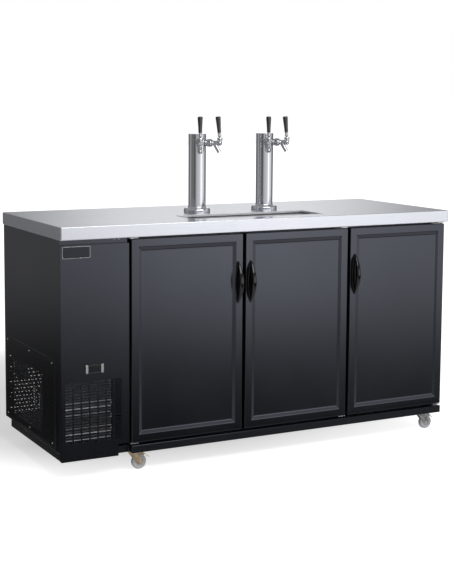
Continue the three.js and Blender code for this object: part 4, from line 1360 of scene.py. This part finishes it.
    def hub(self) -> Form:
        """Shapes the core, with a raised boss round the axle.

        Returns:
            The core, about the Y axis.
        """
        boss, web = self.wheel_width / 2 + 0.8, self.wheel_width / 2 - 3.4
        return lathed([
            [4.3, -boss], [8, -boss], [8.6, -web], [13.4, -web], [13.4, web], [8.6, web],
            [8, boss], [4.3, boss]], 0.7, 3, 48).turned(90, "X")

    def pedal(self, hub_x: float) -> Form:
        """Shapes the pedal: a plate that slopes down to a curled tip, and two ears on its pin.

        Args:
            hub_x: Place of the axle along X.

        Returns:
            The pedal, with the axle at the origin.
        """
        low, high = node_box(f"{self.end}_{self.side}_brake_pedal")
        x, z = self.pin
        tip_x, tip_z = high[0] - hub_x - 1.6, low[2] - self.wheel_radius + 1.8
        spine = curve([
            [x - 5, 0, z + 2.6], [x + 4, 0, z + 1.6], [(x + tip_x) / 2, 0, (z + tip_z) / 2 + 1.5],
            [tip_x - 4, 0, tip_z + 1.2], [tip_x, 0, tip_z]], 7)
        t = np.linspace(0, 1, len(spine))
        wide = np.stack([0.68 + 0.32 * t**2, 1 + 0 * t], axis=-1)
        sheet = swept(spine, oval(23.6, 2.6, 6), (0, 1, 0), wide)
        ear = lathed([[0, 0], [6, 0], [6, 2.2], [0, 2.2]], 0.5).turned(90, "X").moved(x, z=z)
        return sheet + ear.moved(y=7.8) + ear.moved(y=-5.6)


@dataclass
class MachineCompartment:
    """Slotted covers, thermostat, bare badge plate, and the condensing unit behind them.

    Attributes:
        opening_margin: Distance of the back's opening from both sides.
        opening_floor: Distance of the opening from the housing's bottom.
        opening_height: Height of the opening.
        guard_gap: Clearance of the guard in the opening.
        slat: Height of the guard's slats.
        slat_pitch: Distance from one slat to the next.
        floor_gap: Clearance of the sheet under the unit.
        screw_inset: Distance of the side cover's screws from its edges.
        fin_front: How far the fins lie behind the coil's front.
        tube: Thickness of the coil's tube.
        tube_pitch: Distance between its runs.
        tube_start: Height of its first run over the coil's bottom.
        tube_inset: Distance of its bends from the coil's ends.
        tube_front: How far it lies before the fins.
    """

    opening_margin: float = 14.0
    opening_floor: float = 8.0
    opening_height: float = 285.0
    guard_gap: float = 0.4
    slat: float = 14.6
    slat_pitch: float = 16.6
    floor_gap: float = 2.5
    screw_inset: float = 14.0
    fin_front: float = 9.0
    tube: float = 8.4
    tube_pitch: float = 25.4
    tube_start: float = 15.8
    tube_inset: float = 7.0
    tube_front: float = 4.4

    def build(self) -> None:
        """Dresses the housing and its covers, and makes what is fixed to them and lies inside."""
        eased("machine_housing", BLACK_PAINT, 0.8)
        eased("front_panel", BLACK_PAINT, 0.9)
        eased("side_panel", BLACK_PAINT, 0.7)
        eased("junction_box", INNER_PAINT, 1.2)
        dress("condenser_fan_shroud", INNER_PAINT)
        make("cover_screws", self.cover_screws(), BRIGHT_ZINC)
        make("rear_guard", self.rear_guard(), INNER_PAINT)
        make("compartment_floor", self.floor(), INNER_PAINT)
        self.build_badge()
        self.build_thermostat()
        self.build_unit()

    def floor(self) -> Form:
        """Shapes the sheet that closes the bottom between the base and the back.

        Returns:
            The sheet.
        """
        low, high = node_box("machine_housing")
        front, bottom, gap = node_box("compressor")[1][1] + 4, low[2] + 0.1, self.floor_gap
        outline = [low[0] + gap, high[0] - gap, front, high[1] - gap]
        return plate(outline, 0.5, bottom, bottom + 1.2, 0.2)

    def rear_guard(self) -> Form:
        """Shapes the guard in the open back.

        Returns:
            Level slats and upright bars in one frame.
        """
        low, high = node_box("machine_housing")
        inset = self.opening_margin + self.guard_gap
        left, right = low[0] + inset, high[0] - inset
        bottom = low[2] + self.opening_floor + self.guard_gap
        top = bottom + self.opening_height - 2 * self.guard_gap
        section = softened([[0, 0.4], [0, 2], [7, 2], [7, 0.4], [0, 0.4]], 0.3, 2)[:-1]
        rim = framed([left, right, bottom, top], 2, section, closed=True)
        slats = [
            plate([left + 5, right - 5, level, level + self.slat], 0.5, 0.7, 1.5, 0.2)
            for level in np.arange(bottom + 9, top - 13, self.slat_pitch)]
        bars = [
            plate([place - 1.6, place + 1.6, bottom + 5, top - 5], 0.5, 1.1, 1.9, 0.2)
            for place in np.linspace(left, right, 9)[1:-1]]
        return joined([rim, *slats, *bars]).to_front().moved(y=high[1])

    def cover_screws(self) -> Form:
        """Shapes the screws round the side cover and under the worktop on the front panel.

        Returns:
            Their heads.
        """
        low, high = node_box("side_panel")
        inset = self.screw_inset
        depths = (low[1] + inset + 17, (low[1] + high[1]) / 2, high[1] - inset - 9)
        heights = (low[2] + inset, high[2] - inset)
        head = screw_head(3.4, 1.5)
        side, front = head.turned(-90, "Y"), head.to_front()
        heads = [side.moved(low[0], y, z) for y in depths for z in heights]
        recess = node_box("machine_housing")[0][1]
        _, right, _, top = facing("front_panel")
        heads += [front.moved(right - gap, recess, top + 15) for gap in (36, 55)]
        return joined(heads)

    def build_badge(self) -> None:
        """Makes a bare plate with a thin bright border."""
        outline, back = facing("badge_plate"), node_box("badge_plate")[1][1]
        field = framed(outline, 2.5, softened([[6, 0], [1.4, 0], [1.4, 1], [6, 1]], 0.3, 2))
        section = softened([[0, 0], [0, 1.5], [1.3, 1.5], [1.3, 0], [0, 0]], 0.4, 2)[:-1]
        rim = framed(outline, 2.5, section, closed=True)
        make("badge_field", field.to_front().moved(y=back), BADGE_PAINT, nodes=["badge_plate"])
        make("badge_rim", rim.to_front().moved(y=back), BRIGHT_TRIM)

    def build_thermostat(self) -> None:
        """Makes a bezel with the body behind the panel, a sunk window and two bright end clips."""
        outline = left, right, bottom, top = facing("temperature_controller")
        face = node_box("front_panel")[0][1] - 0.3
        behind = face - node_box("temperature_controller")[1][1]
        bezel = framed(outline, 3, softened([
            [2, 0], [0, 0], [0, 3.9], [3.5, 3.9], [4.5, 2.4], [9, 2.4]], [0.3, 0.8, 0.8, 0.5], 3))
        body = plate([left + 3.8, right - 3.8, bottom + 4.2, top - 4.2], 2, behind, 0.6, 1)
        window = plate([left + 13, right - 13, bottom + 5.5, top - 5.5], 1.5, 2.0, 3.0, 0.3)
        clips = joined(
            plate([start, start + 10.3, bottom + 1.4, top - 1.4], 2, 2.0, 4.0, 0.5)
            for start in (left + 1.2, right - 11.5))
        for name, form, finish, nodes in (
                ("thermostat_bezel", bezel + body, BLACK_PLASTIC, ["temperature_controller"]),
                ("thermostat_window", window, WINDOW, []),
                ("thermostat_clips", clips, BRIGHT_TRIM, [])):
            make(name, form.to_front().moved(y=face), finish, nodes=nodes)

    def build_unit(self) -> None:
        """Makes the compressor, the coil and the fan."""
        low, high = node_box("compressor")
        x, y = (low[:2] + high[:2]) / 2
        height = high[2] - low[2]
        for name, form, finish, nodes in (
                ("compressor_pot", self.pot(height), POT_PAINT, ["compressor"]),
                ("compressor_feet", self.pot_feet(), INNER_PAINT, []),
                ("compressor_pipes", self.pot_pipes(height), TUBES, [])):
            make(name, form.moved(x, y, low[2]), finish, nodes=nodes)
        self.build_coil()
        dress("condenser_fan", BLACK_PLASTIC)

    def pot(self, height: float) -> Form:
        """Shapes two drawn halves with a welded seam between them.

        Args:
            height: Height of the compressor.

        Returns:
            The pot.
        """
        return lathed([
            [0, 20], [50, 20], [78, 32], [82, 60], [82, 118], [88, 119], [88, 126], [82, 127],
            [82, 160], [66, height - 12], [30, height - 1], [0, height]],
            [20, 20, 10, 1.5, 1, 1, 1.5, 25, 20, 10], 5, ROUND_SIDES)

    def pot_feet(self) -> Form:
        """Shapes a base plate with turned corners on four rubber feet.

        Returns:
            Plate and feet.
        """
        foot = lathed([[0, 0], [13, 0], [11, 7], [13, 14], [8, 20], [0, 20]], 2)
        feet = [foot.moved(x, y) for x in (-84, 84) for y in (-60, 60)]
        return joined([plate([-99, 99, -74, 74], 12, 14, 18, 1), *feet])

    def pot_pipes(self, height: float) -> Form:
        """Shapes the suction and discharge pipes, which leave the pot and bend upwards.

        Args:
            height: Height of the compressor.

        Returns:
            Both pipes.
        """
        return joined(
            swept(curve([[-70, y, 75], [-92, y, 82], [-95, y, 110], [-95, y, top]]),
                  oval(size, size), (0, 1, 0))
            for y, top, size in ((30, height - 40, 9.5), (-34, height - 62, 6.5)))

    def build_coil(self) -> None:
        """Makes the fin pack with its end plates, and the tube that winds up in front of it.

        At its ends the tube turns back in half ovals, half as deep as they are high.
        """
        low, high = node_box("condenser_coil")
        front = low[1] + self.fin_front
        outline = [low[0] + 4, high[0] - 4, front, high[1]]
        pack = plate(outline, 0.5, low[2] + 26, high[2] - 0.5, 0.3)
        make("condenser_fin_pack", pack, FINS, nodes=["condenser_coil"])
        ends = joined(
            plate([side, side + 2.6, front - 2, high[1]], 0.5, low[2], high[2] - 0.2, 0.3)
            for side in (low[0] + 1, high[0] - 3.6))
        make("condenser_end_plates", ends, LINER)
        half, bottom, y = self.tube_pitch / 2, low[2] + self.tube_start, front - self.tube_front
        left, right = low[0] + self.tube_inset, high[0] - self.tube_inset
        run = np.arange(8)[:, None]
        turn = np.linspace(-np.pi / 2, np.pi / 2, 9)
        x = np.where(run % 2, left, right) + np.where(run % 2, -1, 1) * half / 2 * np.cos(turn)
        z = bottom + self.tube_pitch * run + half + half * np.sin(turn)
        bends = np.stack([x, 0 * x + y, z], axis=-1).reshape(-1, 3)
        path = np.concatenate([[[left, y, bottom]], bends])
        section = oval(self.tube, self.tube, sides=12)
        make("condenser_tubes", swept(path, section, (0, 1, 0)), TUBES)


@dataclass
class Cabinet:
    """Insulated casing, its liner, the base under it and the cold unit inside.

    Attributes:
        rings: Radii of the rings of the evaporator's guard.
        wire: Radius of their wire.
    """

    rings: tuple[float, ...] = (14, 28, 42, 56, 70, 82)
    wire: float = 1.1

    def build(self) -> None:
        """Dresses the casing and makes the evaporator's guard."""
        eased("cabinet_shell", BLACK_PAINT, 1.2)
        eased("base_frame", BASE_PAINT, 2.6)
        eased("cabinet_liner", LINER, 0.8)
        eased("evaporator_housing", LINER, 1.2)
        dress("evaporator_fan", BLACK_PLASTIC)
        make("evaporator_guard", self.guard(), BRIGHT_ZINC)

    def guard(self) -> Form:
        """Shapes the wire guard over the fan.

        Returns:
            Rings and spokes in one plane.
        """
        low, high = node_box("evaporator_fan")
        _, y, z = (low + high) / 2
        face = node_box("evaporator_housing")[1][0]
        rings = [hoop(radius, self.wire) for radius in self.rings]
        line = np.array([[8.0, 0, 1.2], [40.0, 0, 1.4], [88.0, 0, 1.2]])
        spoke = swept(line, oval(2.4, 2.4, sides=8), (0, 1, 0))
        spokes = [spoke.turned(45 + 90 * step) for step in range(4)]
        return joined([*rings, *spokes]).to_right().moved(face + 1.6, y, z)


@dataclass
class Studio:
    """Pale floor, soft light and the camera.

    Attributes:
        eye: Place of the camera, in metres.
        yaw: Degrees that it looks towards +X from +Y.
        pitch: Degrees that it looks down.
        roll: Degrees that it is turned about its view.
        lens: Focal length of the camera.
        sensor: Width of its sensor.
        shift: Shift of the frame upwards, as a share of its long side.
        floor_reach: How far the floor reaches, in metres.
        shade: Middle of the oval on the floor where its shadow shows, in metres.
        shade_size: Half of that oval's width and depth, in metres.
        ceiling: Brightness of the ceiling.
        ground: Brightness of what lies low.
        dark_way: Degrees to the right of the camera's way of looking where, as on the other
            side, low is dark.
        dim: Least brightness.
        cornice: Heights between which the ceiling begins, as sines of their angle.
        skirting: Heights between which the walls begin.
        low: Heights between which the ground begins, but for the dark ways.
        lowest: Heights between which it begins there.
        room: Degrees to the right of the camera's way of looking, and how bright the wall is there.
    """

    eye: tuple[float, float, float] = (-2.6214, -4.9302, 1.5239)
    yaw: float = 27.776
    pitch: float = 6.127
    roll: float = 0.376
    lens: float = 78.42
    sensor: float = 36.0
    shift: float = -0.1027
    floor_reach: float = 30.0
    shade: tuple[float, float] = (-0.2, 1.1)
    shade_size: tuple[float, float] = (1.15, 0.95)
    ceiling: float = 0.32
    ground: float = 0.62
    dark_way: float = 124.0
    dim: float = 0.012
    cornice: tuple[float, float] = (0.15, 0.32)
    skirting: tuple[float, float] = (-0.225, -0.125)
    low: tuple[float, float] = (-0.18, -0.28)
    lowest: tuple[float, float] = (-0.36, -0.6)
    room: tuple[tuple[float, float], ...] = (
        (-180, 0.50), (-171, 0.46), (-162, 0.20), (-149, 0.05), (-140, 0.16), (-118, 0.18),
        (-107, 0.12), (-97, 0.24), (-88, 0.52), (-78, 0.24), (-68, 0.19), (-46, 0.20),
        (-40, 0.04), (-22, 0.03), (-10, 0.26), (-4, 1.08), (3, 1.22), (9, 0.36), (16, 0.06),
        (40, 0.04), (58, 0.16), (72, 0.45), (85, 0.75), (98, 1.0), (112, 0.95), (119, 1.42),
        (123, 1.76), (126, 1.64), (131, 0.92), (150, 0.66), (170, 0.60), (180, 0.50))

    def build(self) -> None:
        """Makes the floor, the camera, the world and the lamp."""
        bpy.context.scene.view_settings.view_transform = "Standard"
        self.floor()
        self.camera()
        self.world()
        self.softbox(
            "key_softbox", side=150.0, distance=2.6, height=3.0, dip=52.0, size=(3.2, 1.6),
            power=68.0)

    def way(self, side: float, rise: float = 0.0) -> Array:
        """Finds a direction.

        Args:
            side: Degrees to the right of the camera's way of looking.
            rise: Degrees upwards.

        Returns:
            The unit vector (sin a cos b, cos a cos b, sin b), a and b being both angles.
        """
        angle, rise = math.radians(self.yaw + side), math.radians(rise)
        level = math.cos(rise)
        return np.array([math.sin(angle) * level, math.cos(angle) * level, math.sin(rise)])

    def camera(self) -> None:
        """Camera at the photograph's angle."""
        ahead, level, roll = self.way(0, -self.pitch), self.way(90), math.radians(self.roll)
        upright = np.cross(level, ahead)
        right = math.cos(roll) * level + math.sin(roll) * upright
        up = -math.sin(roll) * level + math.cos(roll) * upright
        turn = Matrix(np.stack([right, up, -ahead], axis=1).tolist()).to_4x4()
        data = bpy.data.cameras.new("camera")
        data.lens, data.shift_y, data.sensor_width = self.lens, self.shift, self.sensor
        data.clip_end = 100
        eye = placed("camera", data)
        eye.matrix_world = Matrix.Translation(self.eye) @ turn
        bpy.context.scene.camera = eye

    def floor(self) -> None:
        """Large pale floor that shows white to the camera where no shadow falls on it.

        For the camera it also glows, by 0.4 in the oval of the shadow and by 1.4 far from it.
        """
        mesh = bpy.data.meshes.new("studio_floor")
        square = np.array([[-1, -1, 0], [1, -1, 0], [1, 1, 0], [-1, 1, 0]]) * self.floor_reach
        mesh.from_pydata(square.tolist(), [], [[0, 1, 2, 3]])
        material = bpy.data.materials.new("studio_floor")
        material.use_nodes = True
        mesh.materials.append(material)
        shader = Shader(material.node_tree)
        camera_ray = shader.node("ShaderNodeLightPath", output="Is Camera Ray")
        scale = [1 / size for size in self.shade_size]
        here = shader.place((*scale, 0), (-self.shade[0], -self.shade[1], 0))
        away = shader.node("ShaderNodeVectorMath", {"operation": "LENGTH"}, {0: here}, "Value")
        glow = camera_ray * (0.4 + away.between(0.8, 1.75) * 0.5 + away.between(1.75, 6.0) * 0.5)
        grain = shader.noise(14, 4)
        shader.surface(
            Base_Color=shader.mixed(grain, (0.80, 0.80, 0.80), (0.83, 0.83, 0.83)),
            Roughness=0.9, Specular_IOR_Level=0.0,
            Emission_Color=shader.mixed(glow, (0, 0, 0), (1, 1, 1)), Emission_Strength=1.0)
        floor = placed("studio_floor", mesh)
        floor.visible_glossy = False
        floor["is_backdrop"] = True

    def world(self) -> None:
        """White backdrop behind the object, and a studio with soft boxes and dark flags."""
        world = bpy.data.worlds.new("studio")
        world.use_nodes = True
        bpy.context.scene.world = world
        shader = Shader(world.node_tree)
        looks = shader.node("ShaderNodeTexCoord", output="Generated")
        ahead, right, across, height = (
            shader.node(
                "ShaderNodeVectorMath", {"operation": "DOT_PRODUCT"}, {0: looks, 1: way}, "Value")
            for way in (self.way(0), self.way(90), self.way(self.dark_way), (0, 0, 1)))
        turn = shader.node("ShaderNodeMath", {"operation": "ARCTAN2"}, {0: right, 1: ahead})
        stops = [((degrees + 180) / 360, level) for degrees, level in self.room]
        ramp = {0: turn * (0.5 / math.pi) + 0.5}
        walls = shader.node("ShaderNodeValToRGB", {"stops": stops}, ramp)
        wall = height.between(*self.skirting)
        ceiling = height.between(*self.cornice)
        plain = height.between(*self.low) * (across * across).between(0.90, 0.72)
        ground = height.between(*self.lowest).larger(plain)
        inner = walls * wall * (1 - ceiling)
        room = self.dim + inner + ceiling * self.ceiling + ground * self.ground
        camera, glossy, through = (
            shader.node("ShaderNodeLightPath", output=f"Is {kind} Ray")
            for kind in ("Camera", "Glossy", "Transmission"))
        behind = ahead.between(0.985, 0.998) * wall * (1 - ceiling)
        shown = camera.larger(through).larger(glossy * behind)
        inputs = {"Color": (1, 1, 1, 1), "Strength": shown + (1 - shown) * room}
        shader.ended("World", shader.node("ShaderNodeBackground", None, inputs))

    def softbox(
        self, name: str, side: float, distance: float, height: float, dip: float,
        size: tuple[float, float], power: float
    ) -> None:
        """Places a large soft lamp round the object.

        Args:
            name: Name of the lamp.
            side: Degrees to the right of the camera's way of looking, seen from the object.
            distance: Metres from the middle of the object.
            height: Metres above the floor.
            dip: Degrees that it looks down.
            size: Width and height in metres.
            power: Watts.
        """
        away, across = self.way(side, dip), self.way(side - 90)
        turn = Matrix(np.stack([across, np.cross(away, across), away], axis=1).tolist()).to_4x4()
        data = bpy.data.lights.new(name, "AREA")
        data.shape, data.size, data.size_y, data.energy = "RECTANGLE", *size, power
        place = self.way(side) * distance + np.array([0.0, 0.0, height])
        placed(name, data).matrix_world = Matrix.Translation(place.tolist()) @ turn


def corners(bounds: Sequence[Any]) -> list[list[float]]:
    """Both corners of a box as plain numbers."""
    return [[float(value) for value in corner] for corner in bounds]


def main() -> None:
    """Builds every sub-assembly in order and notes the boxes of both models."""
    logging.basicConfig(level=logging.INFO, format="%(message)s")
    packed = corners(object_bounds())
    Studio().build()
    Cabinet().build()
    MachineCompartment().build()
    Worktop().build()
    for side in ("left", "middle", "right"):
        Door(side).build()
    for side in ("left", "right"):
        Tower(side).build()
    for end in ("front", "rear"):
        for side in ("left", "right"):
            Castor(end, side).build()
    sizes = {"packed": packed, "visual": corners(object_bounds())}
    log.info("packed %s, visual %s", sizes["packed"], sizes["visual"])


if __name__ == "__main__":
    main()
